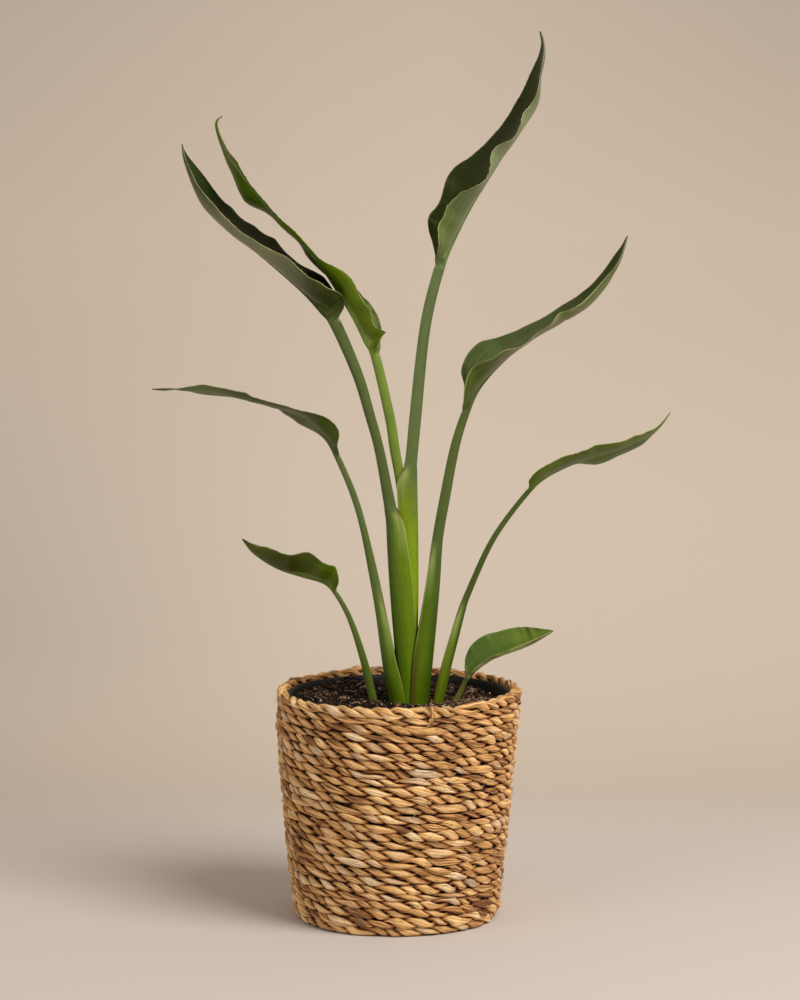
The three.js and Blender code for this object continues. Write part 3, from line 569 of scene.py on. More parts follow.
class Shader:
    """A node material, built up from its principled shader."""

    def __init__(self, name):
        self.material = bpy.data.materials.new(name)
        self.material.use_nodes = True
        self.nodes = self.material.node_tree.nodes
        self.skin = self.nodes["Principled BSDF"]
        self.at = self.add("TexCoord", output="Object")

    def node(self, kind, inputs=None, **traits):
        node = self.nodes.new("ShaderNode" + kind)
        for key, value in traits.items():
            setattr(node, key, value)
        for key, value in (inputs or {}).items():
            self.set(node.inputs[key], value)
        return node

    def add(self, kind, inputs=None, output=0, **traits):
        return Value(self, self.node(kind, inputs, **traits).outputs[output])

    def set(self, socket, value):
        if isinstance(value, Value):
            self.material.node_tree.links.new(value.socket, socket)
        elif isinstance(value, tuple) and len(value) == 3 and socket.type == "RGBA":
            socket.default_value = (*value, 1)
        else:
            socket.default_value = value

    def values(self, *names):
        return [self.add("Attribute", output="Fac", attribute_name=name) for name in names]

    def split(self, vector):
        return [Value(self, s) for s in self.node("SeparateXYZ", {0: vector}).outputs]

    def mix(self, factor, a, b, blend="MIX"):
        return self.add("Mix", {0: factor, 6: a, 7: b}, 2, data_type="RGBA", blend_type=blend)

    def over(self, color, share, rgb):
        """The colour with a share of another one, given as 0-255, laid over it."""
        return self.mix(share, color, linear(rgb))

    def toned(self, color, tone):
        """The colour made lighter or darker by a grey tone."""
        gray = self.add("CombineColor", {0: tone, 1: tone, 2: tone})
        return self.mix(1.0, color, gray, "MULTIPLY")

    def ramp(self, factor, *stops):
        node = self.node("ValToRGB", {"Fac": factor})
        ends = node.color_ramp.elements
        while len(ends) < len(stops):
            ends.new(0.5)
        for element, (position, color) in zip(ends, stops):
            element.position = position
            element.color = (*color, 1)
        return Value(self, node.outputs["Color"])

    def noise(self, at, scale=1.0, detail=2.0, roughness=0.6):
        """Noise at a place, which may be given as three values."""
        if isinstance(at, tuple):
            at = self.add("CombineXYZ", dict(enumerate(at)))
        inputs = {"Vector": at, "Scale": scale, "Detail": detail, "Roughness": roughness}
        return self.add("TexNoise", inputs)

    def bump(self, height, distance, strength):
        return self.add("Bump", {"Height": height, "Distance": distance, "Strength": strength})

    def coat(self, color, roughness, **inputs):
        inputs.update(base_color=color, roughness=roughness)
        for key, value in inputs.items():
            name = key.replace("_", " ").title().replace("Ior", "IOR")
            self.set(self.skin.inputs[name], value)
        return self.material

    def waxy_coat(self, color, roughness, normal, weight, radius):
        """Leaf skin: some light passes through it, and its gloss is tinted."""
        return self.coat(
            color,
            roughness,
            normal=normal,
            subsurface_weight=weight,
            subsurface_radius=radius,
            subsurface_scale=1.0,
            specular_ior_level=0.4,
            specular_tint=WAX_TINT,
        )


# ------------------------------------------------------------------- materials


def rope_material():
    """Dry twisted grass: bleached and brown strands with fine fibres along them."""
    basket = settings().basket
    s = Shader("twisted_grass_rope")
    seed, tone, bleach, bare = s.values("seed", "tone", "bleach", "depth")
    along, around, _ = s.split(s.add("TexCoord", output="UV"))
    fibre = s.noise((along * 70.0, around * 2600.0, seed * 37.0), detail=3.0)
    coarse = s.noise((along * 34.0, around * 520.0, seed), roughness=0.5)
    straw = s.ramp(
        fibre * 0.5 + coarse * 1.25 - 0.86 + tone,
        (0.05, linear((96, 60, 30))),
        (0.3, tuple(basket.brown)),
        (0.5, tuple(basket.straw)),
        (0.72, linear((228, 184, 124))),
        (0.98, tuple(basket.pale)),
    )
    bleached = bleach * fibre.range(0.35, 0.6, 0.5, 1.0)
    straw = s.over(straw, bleached.range(0.2, 0.9, 0.0, 0.8), (226, 204, 176))
    # painted shade: strands turn brown where they dive under their neighbour and sink into the rope
    painted_tail_shade = s.mix(1.0, straw, linear((186, 145, 102)), "MULTIPLY")
    color = s.mix(bare.step(0.3, 0.74, 1.0, 0.0), straw, painted_tail_shade)
    # painted shade: near black in the deep gaps between strands and rows
    color = s.mix(bare.step(0.16, 0.44), linear((22, 12, 5)), color)
    mottle = s.noise(s.at, 900.0)
    color = s.over(color, mottle.range(0.64, 0.75, 0.0, 0.45), (110, 70, 38))
    wrinkle = s.noise((along * 28.0, around * 480.0, seed + 4.0))
    wrinkle = abs(wrinkle - 0.5).range(0.0, 0.035)
    # painted shade: the colour darkens along the fine creases that the bump presses in
    color = s.over(color, wrinkle.range(0.0, 1.0, 0.6, 0.0), (70, 38, 16))
    normal = s.bump(fibre * 0.5 + coarse * 0.8 + wrinkle * 0.35, 0.001, 0.9)
    color = s.mix(1.0, color, (1.24, 1.23, 1.17), "MULTIPLY")
    return s.coat(color, fibre.range(0.2, 0.8, 0.72, 0.5), normal=normal, specular_ior_level=0.35)


def plastic_material():
    """Black moulded plastic with soil dust and faint rings from the mould."""
    s = Shader("black_pot_plastic")
    dust = s.noise(s.at, 60.0, 4.0, 0.7)
    color = s.over(tuple(settings().pot.plastic), dust.range(0.5, 0.72, 0.0, 0.35), (40, 34, 29))
    rings = s.noise(s.add("Mapping", {"Vector": s.at, "Scale": (6, 6, 900)}), roughness=0.5)
    normal = s.bump(rings + dust * 0.6, 0.0003, 0.5)
    return s.coat(color, dust.range(0.3, 0.7, 0.45, 0.7), normal=normal, specular_ior_level=0.25)


def soil_material():
    """Peat, bark and fibre: each grain carries its own shade, and the loose grains carry painted
    light too, lighter towards the right.
    """
    soil = settings().soil
    s = Shader("potting_mix")
    grain = s.noise(s.at, 420.0, 4.0, 0.7)
    color = s.ramp(
        (grain - 0.5) * 0.55 + s.values("shade")[0],
        (0.0, linear((16, 11, 8))),
        (0.3, tuple(soil.dark)),
        (0.62, linear((80, 54, 38))),
        (0.85, tuple(soil.light)),
        (1.0, linear((168, 132, 100))),
    )
    return s.coat(color, 0.92, normal=s.bump(grain, 0.0012, 0.9), specular_ior_level=0.2)


def perlite_material():
    """White volcanic grains with pits and stains."""
    s = Shader("perlite")
    pits = s.noise(s.at, 1500.0, 3.0)
    color = s.ramp(
        s.noise(s.at, 90.0, roughness=0.5),
        (0.3, linear((222, 214, 200))),
        (0.6, linear((206, 178, 150))),
        (0.8, linear((160, 120, 90))),
    )
    color = s.over(color, pits.range(0.25, 0.6, 0.5, 0.0), (120, 100, 84))
    return s.coat(color, 0.85, normal=s.bump(pits, 0.0004, 0.8))


def blade_material(name, leaf):
    """Both faces of a blade: dull waxy underside, dark satin inner face, pale margin."""
    foot, middle, tip = (linear(c) for c in leaf["under"])
    inner_foot, inner_tip = (linear(c) for c in leaf["inner"])
    rib = linear(leaf["rib"])
    s = Shader("blade_skin_" + name)
    along, across, inside, far, reach = s.values("along", "across", "inside", "far", "reach")
    # veins leave the midrib at a low angle and run out to the margin
    run = across - reach * 5.0
    vein = s.noise((reach * 26.0, run * 36.0, far))
    broad = s.noise((reach * 10.0, run * 11.0, far), roughness=0.5)
    # broad lengthwise bands, where the blade was folded in the bud
    band = s.noise((reach * 14.0, across * 3.4, far), detail=3.0)
    mottle = s.noise(s.at, 55.0, 3.0, 0.55)
    uneven = 0.7 * (1 - leaf.get("evenness", 0))
    streak = vein * 0.6 + broad * uneven
    tone = streak + mottle * 0.4 + band * uneven
    tone = tone.range(0.2 + uneven, 0.8 + uneven, 0.55, 1.45)
    face = s.mix(along.step(0.16, 0.36), foot, middle)
    face = s.mix(along.step(0.5, 0.8), face, tip)
    # the midrib stands out as a smooth band, with a pale line where the blade leaves it
    rib_share = across / along.range(0.0, 0.5, 0.3, 0.08)
    face = s.over(face, rib_share.range(1.15, 2.6, 0.16, 0.0), (30, 34, 8))
    crease = rib_share.range(0.8, 1.0) * rib_share.range(1.0, 1.4, 0.34, 0.0)
    face = s.over(face, crease * along.range(0.05, 0.25, 0.15, 1.0), (170, 176, 128))
    on_rib = rib_share.range(0.75, 1.0, 1.0, 0.0) * along.range(0.3, 1.0, 0.9, 0.4)
    face = s.mix(on_rib, face, rib)
    face = s.mix(along.step(0.0, 0.045), linear(leaf["stem"][1]), face)
    inner = s.toned(s.mix(along.step(0.2, 0.8), inner_foot, inner_tip), tone)
    inner = s.mix(across.step(0.0, 0.05, 0.7, 0.0), inner, tuple(0.6 * c for c in rib))
    color = s.mix(inside.range(0.4, 0.6), s.toned(face, tone), inner)
    edge = across.range(0.972, 0.988, 0.0, 0.9) * far.range(0.0, 1.0, 1.0, 0.25)
    pale = s.mix(mottle.range(0.35, 0.65), linear((118, 122, 74)), linear((186, 178, 132)))
    color = s.mix(edge, color, pale)
    color = s.over(color, along.step(0.955, 0.995, 0.0, 0.92), (70, 48, 26))
    gloss = settings().leaf.gloss
    rough = vein.range(0.25, 0.75, gloss - 0.05, gloss + 0.1)
    return s.waxy_coat(color, rough, s.bump(streak, 0.0004, 0.6), 0.06, (0.0012, 0.002, 0.0006))


def stalk_material(name, leaf):
    """Stalk and sheath: sage stem, lime clasping base, pale lips that dry to brown."""
    stem_low, stem_high = (linear(c) for c in leaf["stem"])
    sheath_low, sheath_lip = (linear(c) for c in leaf["sheath"])
    s = Shader("stalk_skin_" + name)
    along, turn, inside, wing, climb, reach = s.values(
        "along", "across", "inside", "wing", "climb", "reach"
    )
    across = abs(turn)
    fibre = s.noise((reach * 18.0, turn * 17.0, inside), detail=3.0)
    fine = s.noise((reach * 60.0, turn * 60.0, inside))
    tone = fibre * 0.7 + s.noise(s.at, 70.0, 3.0) * 0.45
    stem = s.mix(along.range(0.3, 1.0), stem_low, stem_high)
    back = s.mix(climb.step(0.35, 0.95), sheath_low, stem)
    lips = s.mix(climb.step(0.35, 1.0), s.over(sheath_low, 0.16, (156, 182, 24)), sheath_lip)
    blanched = across.step(0.5, 0.8) * climb.range(0.68, 0.98, 0.0, 0.45)
    lips = s.over(lips, blanched, (184, 196, 124))
    color = s.mix(across.step(0.25, 0.8) * wing, back, lips)
    color = s.toned(color, tone.range(0.33, 0.85, 0.74, 1.26))
    color = s.mix(climb.range(0.0, 0.35, 0.45, 0.0), color, s.over(color, 0.5, (50, 48, 14)))
    thin = wing.range(0.02, 0.3)
    lip = across.range(0.94, 0.985) * climb.range(0.25, 0.75, 0.1, 0.62) * thin
    color = s.over(color, lip, (160, 168, 96))
    withered = turn.range(0.8, 0.88) * climb.range(0.4, 0.52, leaf.get("withered", 0), 0)
    color = s.over(color, withered * fibre.range(0.35, 0.6, 0.5, 1.0), (84, 62, 22))
    dry_and_side_light = across.range(0.88, 0.96) * climb.range(0.9, 0.98) * thin
    color = s.over(color, dry_and_side_light * 0.8, (112, 84, 44))
    normal = s.bump(fibre + fine * 0.3, 0.0003, 0.5)
    rough = fine.range(0.3, 0.7, 0.32, 0.46)
    return s.waxy_coat(color, rough, normal, 0.1, (0.002, 0.0035, 0.0008))


# ---------------------------------------------------------------------- leaves


class Keel:
    """Back line of a whole leaf, with the frame of its section at each fraction."""

    def __init__(self, leaf):
        rows = leaf["stalk"] + leaf["blade"][1:]
        self.rows = [row[:3] for row in rows]
        self.side = leaf["side"]
        self.root = (len(leaf["stalk"]) - 1) / (len(rows) - 1)

    def frames(self, u):
        step = 0.002
        ahead = catmull(self.rows, np.minimum(u + step, 1))
        behind = catmull(self.rows, np.maximum(u - step, 0))
        along = unit(ahead - behind)
        side = unit(FRONT - along * (along @ FRONT)[:, None])
        up = np.cross(side, along) * self.side
        return catmull(self.rows, u), along, side, up

    def length(self, low, high):
        line = catmull(self.rows, np.linspace(low, high, 200))
        return np.linalg.norm(np.diff(line, axis=0), axis=1).sum()


def stalk_section(values):
    """Sections of a stalk, as inward and sideways offsets from the keel in mm."""
    depth, width, wrap, wall = (values[:, k][:, None] for k in range(4))
    alpha = np.radians(wrap)
    a = depth / (1 - np.cos(alpha))
    b = width / 2
    edge = np.minimum(SHEATH_EDGE, 0.2 * width)
    solid = smoothstep(wall / depth, SHEATH_WALL, SOLID_WALL)
    f = np.linspace(-1, 1, STALK_ARC + 1)[None, :]
    phi = f * alpha
    outer = np.stack([a - a * np.cos(phi), b * np.sin(phi)], -1)
    t = edge + (wall - edge) * np.cos(f * np.pi / 2) ** 3
    shell = np.stack([a - (a - t) * np.cos(phi), (b - t) * np.sin(phi)], -1)
    end_in = a - (a - edge) * np.cos(alpha)
    end_side = (b - edge) * np.sin(alpha)
    channel = np.stack([wall + (end_in - wall) * f * f, end_side * f], -1)
    inner = shell + (channel - shell) * solid[..., None]
    return np.concatenate([outer, inner[:, ::-1]], 1)


def stalk_rings(leaf, keel, u):
    at, _, side, up = keel.frames(u)
    values = catmull([row[3:7] for row in leaf["stalk"]], u / keel.root)
    both = stalk_section(values)
    return sections(at, up, side, both[..., 0], both[..., 1]), values


def smooth_line(points, t):
    """Heights of an outline at t, with its corners rounded off a little."""
    x, y = np.array(points).T
    spread = (-0.012, -0.006, 0, 0.006, 0.012)
    return sum(np.interp(np.clip(t + d, 0, 1), x / 1000, y) for d in spread) / len(spread)


def ragged(reach, rng):
    """Uneven saw teeth along a margin: each swells slowly and then drops back."""
    steps = rng.uniform(2.0, 7.0, 200)
    starts = np.concatenate([[0], np.cumsum(steps)])
    depth = rng.uniform(0.1, 1.0, 200)
    tooth = np.searchsorted(starts, reach, side="right") - 1
    share = (reach - starts[tooth]) / steps[tooth]
    return depth[tooth] * np.where(share < 0.75, share / 0.75, (1 - share) / 0.25)


def blade_rings(leaf, keel, t, length, rng):
    """Sections of a blade: from the near margin over the upper face to the far one."""
    skin = settings().leaf
    serration, thickness = skin.serration / MM, skin.thickness / MM
    at, _, side, up = keel.frames(keel.root + (1 - keel.root) * t)
    fade = smoothstep(t, 0, RIB_FADE)
    root_depth = RIB_ROOT * leaf["stalk"][-1][3]
    rib = (root_depth * (1 - fade) + RIB_DEPTH * fade) * (1 - RIB_TAPER * t)
    fold = at + up * rib[:, None]
    widths = catmull([row[3:5] for row in leaf["blade"]], t)
    body = np.sin(np.pi * np.clip(t, 0, 1)) ** 0.5
    upper, lower, shares = [], [], []
    halves = ((1, "near_edge", 1), (-1, "far_edge", 0.25))
    for k, (half, edge, toothed) in enumerate(halves):
        teeth = ragged(t * length, rng) * serration * leaf.get("teeth", 0.5) * body
        rise = smooth_line(leaf[edge], t) + teeth * toothed
        swell = waves(rng, t * 0.97, 8, 3) * 0.5 * body
        width = np.maximum(widths[:, k], 0.5) + swell + teeth
        width = np.maximum(width, 1.03 * np.abs(rise))
        lean = np.arccos(np.clip(rise / width, -1, 1))
        cos, sin = np.cos(lean)[:, None], np.sin(lean)[:, None]
        toward, out = up * cos + half * side * sin, half * side * cos - up * sin
        swing = waves(rng, t * 0.97, 5, 2) * leaf.get("pucker", 0.5) * body
        rib_edge = (np.minimum(rib, 0.45 * width) / width)[:, None]
        q = rib_edge + (1 - rib_edge) * BLADE_COLUMNS
        room = 0.4 * np.abs(rise) + 0.6 * rib
        bow = (np.minimum(BLADE_BOW * width, room) + swing)[:, None] * 4 * q * (1 - q)
        mid = sections(fold, toward, out, q * width[:, None], bow)
        thick = np.where(BLADE_COLUMNS > MARGIN_FROM, MARGIN_THICKNESS, thickness)
        offset = out[:, None] * thick[None, :, None] / 2
        upper.append(mid - offset)
        lower.append(mid + offset)
        shares.append(q)
    crease = fold + up * thickness / 2
    keel_line = fold - up * rib[:, None]
    near_low, far_low = lower[0][:, 0], lower[1][:, 0]
    control = 2 * keel_line - (near_low + far_low) / 2
    f = np.linspace(0, 1, RIB_POINTS + 2)[1:-1]
    ends = ((far_low, (1 - f) ** 2), (control, 2 * f * (1 - f)), (near_low, f**2))
    under = sum(line[:, None] * weight[None, :, None] for line, weight in ends)
    near, far = shares
    rib_across = np.abs(2 * f - 1) * far[:, :1]
    zero = np.zeros((len(t), 1))
    across = np.concatenate([near[:, ::-1], zero, far, far[:, ::-1], rib_across, near], 1)
    rings = [upper[0][:, ::-1], crease[:, None], upper[1], lower[1][:, ::-1], under, lower[0]]
    n = len(BLADE_COLUMNS)
    point = np.arange(across.shape[1])
    values = {
        "across": across,
        "inside": point < 2 * n + 1,
        "far": (point > n) & (point < 3 * n + 1 + RIB_POINTS // 2),
    }
    return np.concatenate(rings, 1), values


def resample(ring, count):
    """The same polyline with another number of points, spaced evenly by index."""
    at = np.linspace(0, ring.shape[1] - 1, count)
    low = np.minimum(at.astype(int), ring.shape[1] - 2)
    share = (at - low)[None, :, None]
    return ring[:, low] * (1 - share) + ring[:, low + 1] * share


def grow_stalk(name, leaf):
    keel = Keel(leaf)
    length = keel.length(0, keel.root)
    u = np.linspace(0, keel.root, max(12, int(length / 2.5)) + 1)
    points, values = stalk_rings(leaf, keel, u)
    f = np.linspace(-1, 1, STALK_ARC + 1)
    share = (u / keel.root)[:, None]
    solid = values[:, 3] / values[:, 0]
    wing = 1 - smoothstep(solid, SHEATH_WALL, SOLID_WALL + 0.1)
    lips_at = share[np.argmax(solid > 0.5 * (SHEATH_WALL + SOLID_WALL)), 0]
    values = {
        "along": share,
        "reach": share * length * MM,
        "across": np.concatenate([f, f[::-1]]),
        "inside": np.repeat([0, 1], STALK_ARC + 1),
        "wing": wing[:, None],
        "climb": share / max(lips_at, 0.2),
    }
    obj = sleeve("stalk_of_" + name, points * MM, values)
    material = stalk_material(name, leaf)
    finish_piece(obj, material, "stalk_" + name, angle=42)


def grow_blade(name, leaf):
    keel = Keel(leaf)
    length = keel.length(keel.root, 1)
    t = np.linspace(0, 1, int(length * MM / settings().leaf.step) + 1)
    rng = np.random.default_rng(sum(map(ord, name)))
    rings, values = blade_rings(leaf, keel, t, length, rng)
    # the stalk's own section flares into the blade
    root = np.array([keel.root])
    start = stalk_rings(leaf, keel, root)[0]
    outer, inner = np.split(start, 2, 1)
    upper_count = 2 * len(BLADE_COLUMNS) + 1
    lower_count = rings.shape[1] - upper_count
    begin = np.concatenate([resample(inner, upper_count), resample(outer, lower_count)], 1)[0]
    at, *axes = keel.frames(root)
    here, *turned = keel.frames(keel.root + (1 - keel.root) * t)
    local = [((begin - at[0]) @ axis[0])[None, :, None] for axis in axes]
    moved = here[:, None] + sum(k * axis[:, None] for k, axis in zip(local, turned))
    blend = smoothstep(t * length, 0, FLARE)[:, None, None]
    rings = moved * (1 - blend) + rings * blend
    values.update(along=t[:, None], reach=t[:, None] * length * MM)
    obj = sleeve("blade_of_" + name, rings * MM, values)
    material = blade_material(name, leaf)
    finish_piece(obj, material, "blade_" + name, angle=50)


# ---------------------------------------------------------------------- basket


def slant(angle):
    """How high a strand lies: it slants evenly across the front, then ducks behind."""
    turned = (angle + np.pi) % TAU - np.pi
    return np.interp(turned, (-np.pi, -1.85, 1.85, np.pi), (0, -0.62, 0.62, 0))


def strand(path, outward, radius, angle, rng, rim=False):
    """Rings of one strand that winds round the rope's own line, and its values.

    It swells where it lies in front and is squeezed thin between the rows. Every
    length that comes to the front has its own size, place and tone.
    """
    around = turns_of(STRAND_POINTS)
    cos, sin = np.cos(around)[None, :], np.sin(around)[None, :]
    cos = np.sign(cos) * np.abs(cos) ** 0.8
    x = np.linspace(0, 1, len(path), endpoint=False)
    angle = angle + 0.22 * waves(rng, x, 12, 8)
    front = np.cos(angle) ** 2
    length = np.floor((np.pi - angle) / TAU).astype(int)
    length = (length - length.min()) % max(1, length.max() - length.min())
    showing = np.cos(angle / 2) ** 2
    many = length.max() + 1

    def own(deviation):
        return deviation * rng.normal(0, 1, many)[length] * showing

    size, rise, push = 1 + own(0.12), own(0.12), own(0.09)
    tone = 0.56 + own(0.1) + 0.03 * rng.normal()
    tone = tone - 0.22 * (rng.random(many) < 0.07)[length] * showing
    bleach = (rng.random(many)[length] ** 3.5) * showing
    crest = waves(rng, x, 10, 6)[:, None]
    fold = 1 + 0.075 * np.sin(4 * around[None, :] + 2.4 * crest)
    wide, tall = 0.62 - 0.12 * front, 0.43 + 0.31 * front
    out = 0.38 * np.cos(angle) + push
    over = rise + sum(slant(angle + lag) for lag in (-0.25, 0, 0.25)) / 3
    out = out[:, None] + (wide * size)[:, None] * cos * fold
    over = over[:, None] + (tall * size)[:, None] * sin * fold
    span = radius[:, None]
    upward = np.broadcast_to([0.0, 0.0, 1.0], path.shape)
    points = sections(path, outward, upward, span * out, span * over)
    points[..., 2] = np.maximum(points[..., 2], 0)
    # depth: how far the surface stands out of the rope; the rope's material turns low depth into
    # painted shade
    bare = np.hypot(out, over) if rim else np.abs(out)
    values = {"tone": tone[:, None], "bleach": bleach[:, None], "depth": np.clip(bare, 0, 1)}
    return points, values


def twist_rope(path, outward, thick, twist, rng, rim, closed, painted_back_shade=0.0):
    """The strands of one rope, each with a seed for its fibres."""
    strands = []
    for turn in turns_of(STRANDS):
        points, values = strand(path, outward, thick, twist + turn, rng, rim)
        values["tone"] = values["tone"] - painted_back_shade
        values["seed"] = rng.random()
        strands.append(sleeve("strand", points, values, closed))
    return strands


def wall_radius(basket, z):
    t = z / basket.height
    taper = basket.foot_radius + (basket.top_radius - basket.foot_radius) * t
    return taper + basket.belly * np.sin(np.pi * t)


def axis_x(basket, z):
    """Where the basket's axis runs at height z: its foot leans to one side."""
    return basket.lean * (1 - (z / basket.height) ** 4)


def row_edges(basket, rng):
    """Heights of the borders between the rows, each a wavy line round the wall."""
    turn = np.arange(ROW_SAMPLES) / ROW_SAMPLES
    dip = basket.tilt * np.cos(TAU * turn)
    edges = [np.zeros(ROW_SAMPLES)]
    for k in range(1, basket.rows):
        share = k / basket.rows
        shift = rng.normal(0, basket.wander * 0.7) + dip * share**3
        wave = 0.5 * waves(rng, turn, 6) + 0.4 * waves(rng, turn, 12, 7)
        edges.append(share * basket.height + shift + basket.wander * wave)
    edges.append(basket.height - 0.0004 + dip + basket.wander * 0.5 * waves(rng, turn, 5))
    return edges


def weave_wall(basket, rng):
    """All rope rows of the wall, as strand objects, row by row."""
    edges = row_edges(basket, rng)
    turn = np.arange(ROW_SAMPLES + 1) / ROW_SAMPLES
    pitch = basket.height / basket.rows
    rows = []
    for k in range(basket.rows):
        girth = TAU * wall_radius(basket, (k + 0.5) * pitch)
        turns = max(12, round(girth / (basket.lay * rng.uniform(0.86, 1.12))))
        n = turns * STEPS_PER_LAY
        x = np.arange(n) / n
        low, high = (np.interp(x, turn, np.append(e, e[0])) for e in edges[k : k + 2])
        z = (low + high) / 2
        thick = (high - low) / 2 * ROW_OVERLAP
        push = 0.0006 * waves(rng, x, 7) + 0.0004 * waves(rng, x, 12, 9)
        if k == 0:
            push = push - FOOT_TUCK
        ring = wall_radius(basket, z) - thick + push
        outward = radial(TAU * x + np.pi / 2)
        path = outward * ring[:, None] + np.stack([axis_x(basket, z), np.zeros(n), z], 1)
        twist = rng.random() * TAU - turns * TAU * x + 0.6 * waves(rng, x, 12, 4)
        if k == 0:
            path[:, 2] = np.maximum(path[:, 2], thick)
        rim = k == basket.rows - 1
        # painted shade: the top row is darker towards the back of the basket
        painted_back_shade = rim * RIM_BACK_SHADE * (0.5 + 0.5 * np.cos(TAU * x))[:, None]
        rows.append(twist_rope(path, outward, thick, twist, rng, rim, True, painted_back_shade))
    return rows


def coil_floor(basket, rng):
    """The floor: the same rope, coiled flat from the centre out."""
    turns = (basket.foot_radius - 0.011) / FLOOR_PITCH
    length = math.pi * turns * turns * FLOOR_PITCH
    n = int(length / basket.lay * 8)
    x = np.linspace(0.012, 1, n)
    theta = TAU * turns * np.sqrt(x)
    outward = radial(theta)
    thick = np.full(n, FLOOR_PITCH / 2 * 1.02)
    path = outward * (FLOOR_PITCH * theta / TAU)[:, None] + (basket.lean, 0, 0)
    path[:, 2] = thick
    twist = -TAU * x * length / basket.lay
    return join("basket_floor", twist_rope(path, outward, thick, twist, rng, True, False))


def bind_rim(basket, rng):
    """One dry strip that ties the rope's end to the rim, round the two top rows."""
    s = np.linspace(0, 1, 40)
    drop = basket.height / basket.rows * 2.15
    around = TAU * s
    rim = basket.height - basket.tilt
    middle = rim - drop / 2 - 0.0002
    out = wall_radius(basket, middle) - 0.0048 + 0.0058 * np.cos(around)
    z = np.minimum(middle + (drop / 2 + 0.0007) * np.sin(around), rim + 0.0006)
    turn = TIE_HEADING + 0.012 * np.sin(around + 0.6)
    path = np.column_stack([out * np.cos(turn) + axis_x(basket, z), out * np.sin(turn), z])
    side = np.array([-math.sin(TIE_HEADING), math.cos(TIE_HEADING), 0])
    along = unit(np.gradient(path, axis=0))
    flat = unit(side - along * (along @ side)[:, None])
    ring = turns_of(STRAND_POINTS)
    twist = 0.9 * waves(rng, s, 3)[:, None]
    wide = (0.0024 + 0.0016 * np.clip(np.sin(around), 0, 1)) * (1 + 0.3 * waves(rng, s, 5))
    p, q = wide[:, None] * np.cos(ring), TIE_THICKNESS / 2 * np.sin(ring)
    p, q = p * np.cos(twist) - q * np.sin(twist), p * np.sin(twist) + q * np.cos(twist)
    points = sections(path, flat, np.cross(along, flat), p, q)
    values = {"tone": 0.34, "bleach": 0.25, "depth": 0.8, "seed": rng.random()}
    return sleeve("rim_tie", points, values)


def fray(basket, rng):
    """Loose ends of grass that stand off the wall."""
    threads, tones = [], []
    n = 8
    s = np.linspace(0, 1, n)
    for _ in range(basket.wisps):
        z = rng.uniform(0.004, basket.height - 0.002)
        turn = rng.random() * TAU
        length = rng.uniform(4, 15) * MM
        bend = rng.normal(0, 0.7)
        steep = rng.normal(0, 0.45) + bend * s
        along = np.cumsum(np.cos(steep)) * length / n * rng.choice((-1, 1))
        rise = np.cumsum(np.sin(steep)) * length / n
        stand = rng.uniform(0.2, 1.5) * MM * s**1.5
        height = np.clip(z + rise, 0.0008, basket.height + 0.002)
        on_wall = np.minimum(height, basket.height)
        radius = wall_radius(basket, on_wall) - 0.0003 + stand
        path = radial(turn + along / radius) * radius[:, None]
        path = path + np.column_stack([axis_x(basket, on_wall), 0 * height, height])
        thick = rng.uniform(0.12, 0.38) * MM * (1 - 0.75 * s)
        threads.append(thread_rings(path, thick, 5))
        tones.append(rng.uniform(0.4, 0.95))
    same = {"bleach": 0.3, "depth": 0.9, "seed": 0.5}
    return thread_object("frayed_grass", threads, {"tone": tones, **same})


def thread_rings(path, thick, around):
    along = unit(np.gradient(path, axis=0))
    side = unit(np.cross(along, [0.13, 0.07, 1.0]))
    angle, thick = turns_of(around), thick[:, None]
    return sections(path, side, np.cross(side, along), thick * np.cos(angle), thick * np.sin(angle))


def thread_object(name, threads, values):
    """One mesh of many thin closed threads, with a value for each or for all."""
    points, faces, start = [], [], 0
    for rings in threads:
        n, m = rings.shape[:2]
        points.append(rings.reshape(-1, 3))
        for i in range(n - 1):
            for j in range(m):
                a, b = start + i * m + j, start + i * m + (j + 1) % m
                faces.append((a, b, b + m, a + m))
        end = start + (n - 1) * m
        faces.append(tuple(range(start, start + m))[::-1])
        faces.append(tuple(range(end, end + m)))
        start += n * m
    obj = mesh_object(name, points, faces)
    for key, value in values.items():
        value = np.broadcast_to(value, len(threads))
        add_values(obj, key, np.repeat(value, [len(p) for p in points]))
    return obj


# ------------------------------------------------------------------------ soil


def soil_height(x, y):
    """Lumpy surface of the soil, in metres above its mean."""
    at = Vector((x * 30, y * 30, 0.7))
    lumps = ((1, 0.0022), (4.1, 0.0016), (13.0, 0.0011))
    heap = 0.0038 * smoothstep(y, 0.015, 0.085)
    heap = heap + 0.006 * smoothstep(-x, 0.0, 0.08) * smoothstep(y, -0.06, 0.05)
    return sum(noise.noise(at * scale) * size for scale, size in lumps) + heap


def soil_bed(pot, soil):
    """The bed of soil, a lumpy disc on a plain cup."""
    brim = pot.rim_radius - 0.0055
    circle = radial(turns_of(SIDES_OF_SOIL))
    rings = [
        circle * (pot.foot_radius - 0.004) + (0, 0, 0.0114),
        circle * (brim - 0.004) + (0, 0, soil.top - 0.012),
    ]
    for k in range(RINGS_OF_SOIL):
        ring = circle * (brim * (1 - k / RINGS_OF_SOIL) ** 0.97)
        ring[:, 2] = [soil.top - 0.0008 + soil_height(x, y) for x, y, _ in ring]
        rings.append(ring)
    rings = np.array(rings)
    shade = [[0.22 + 0.2 * noise.noise(Vector(p) * 260) for p in ring] for ring in rings]
    return sleeve("soil_bed", rings, {"shade": np.array(shade)})


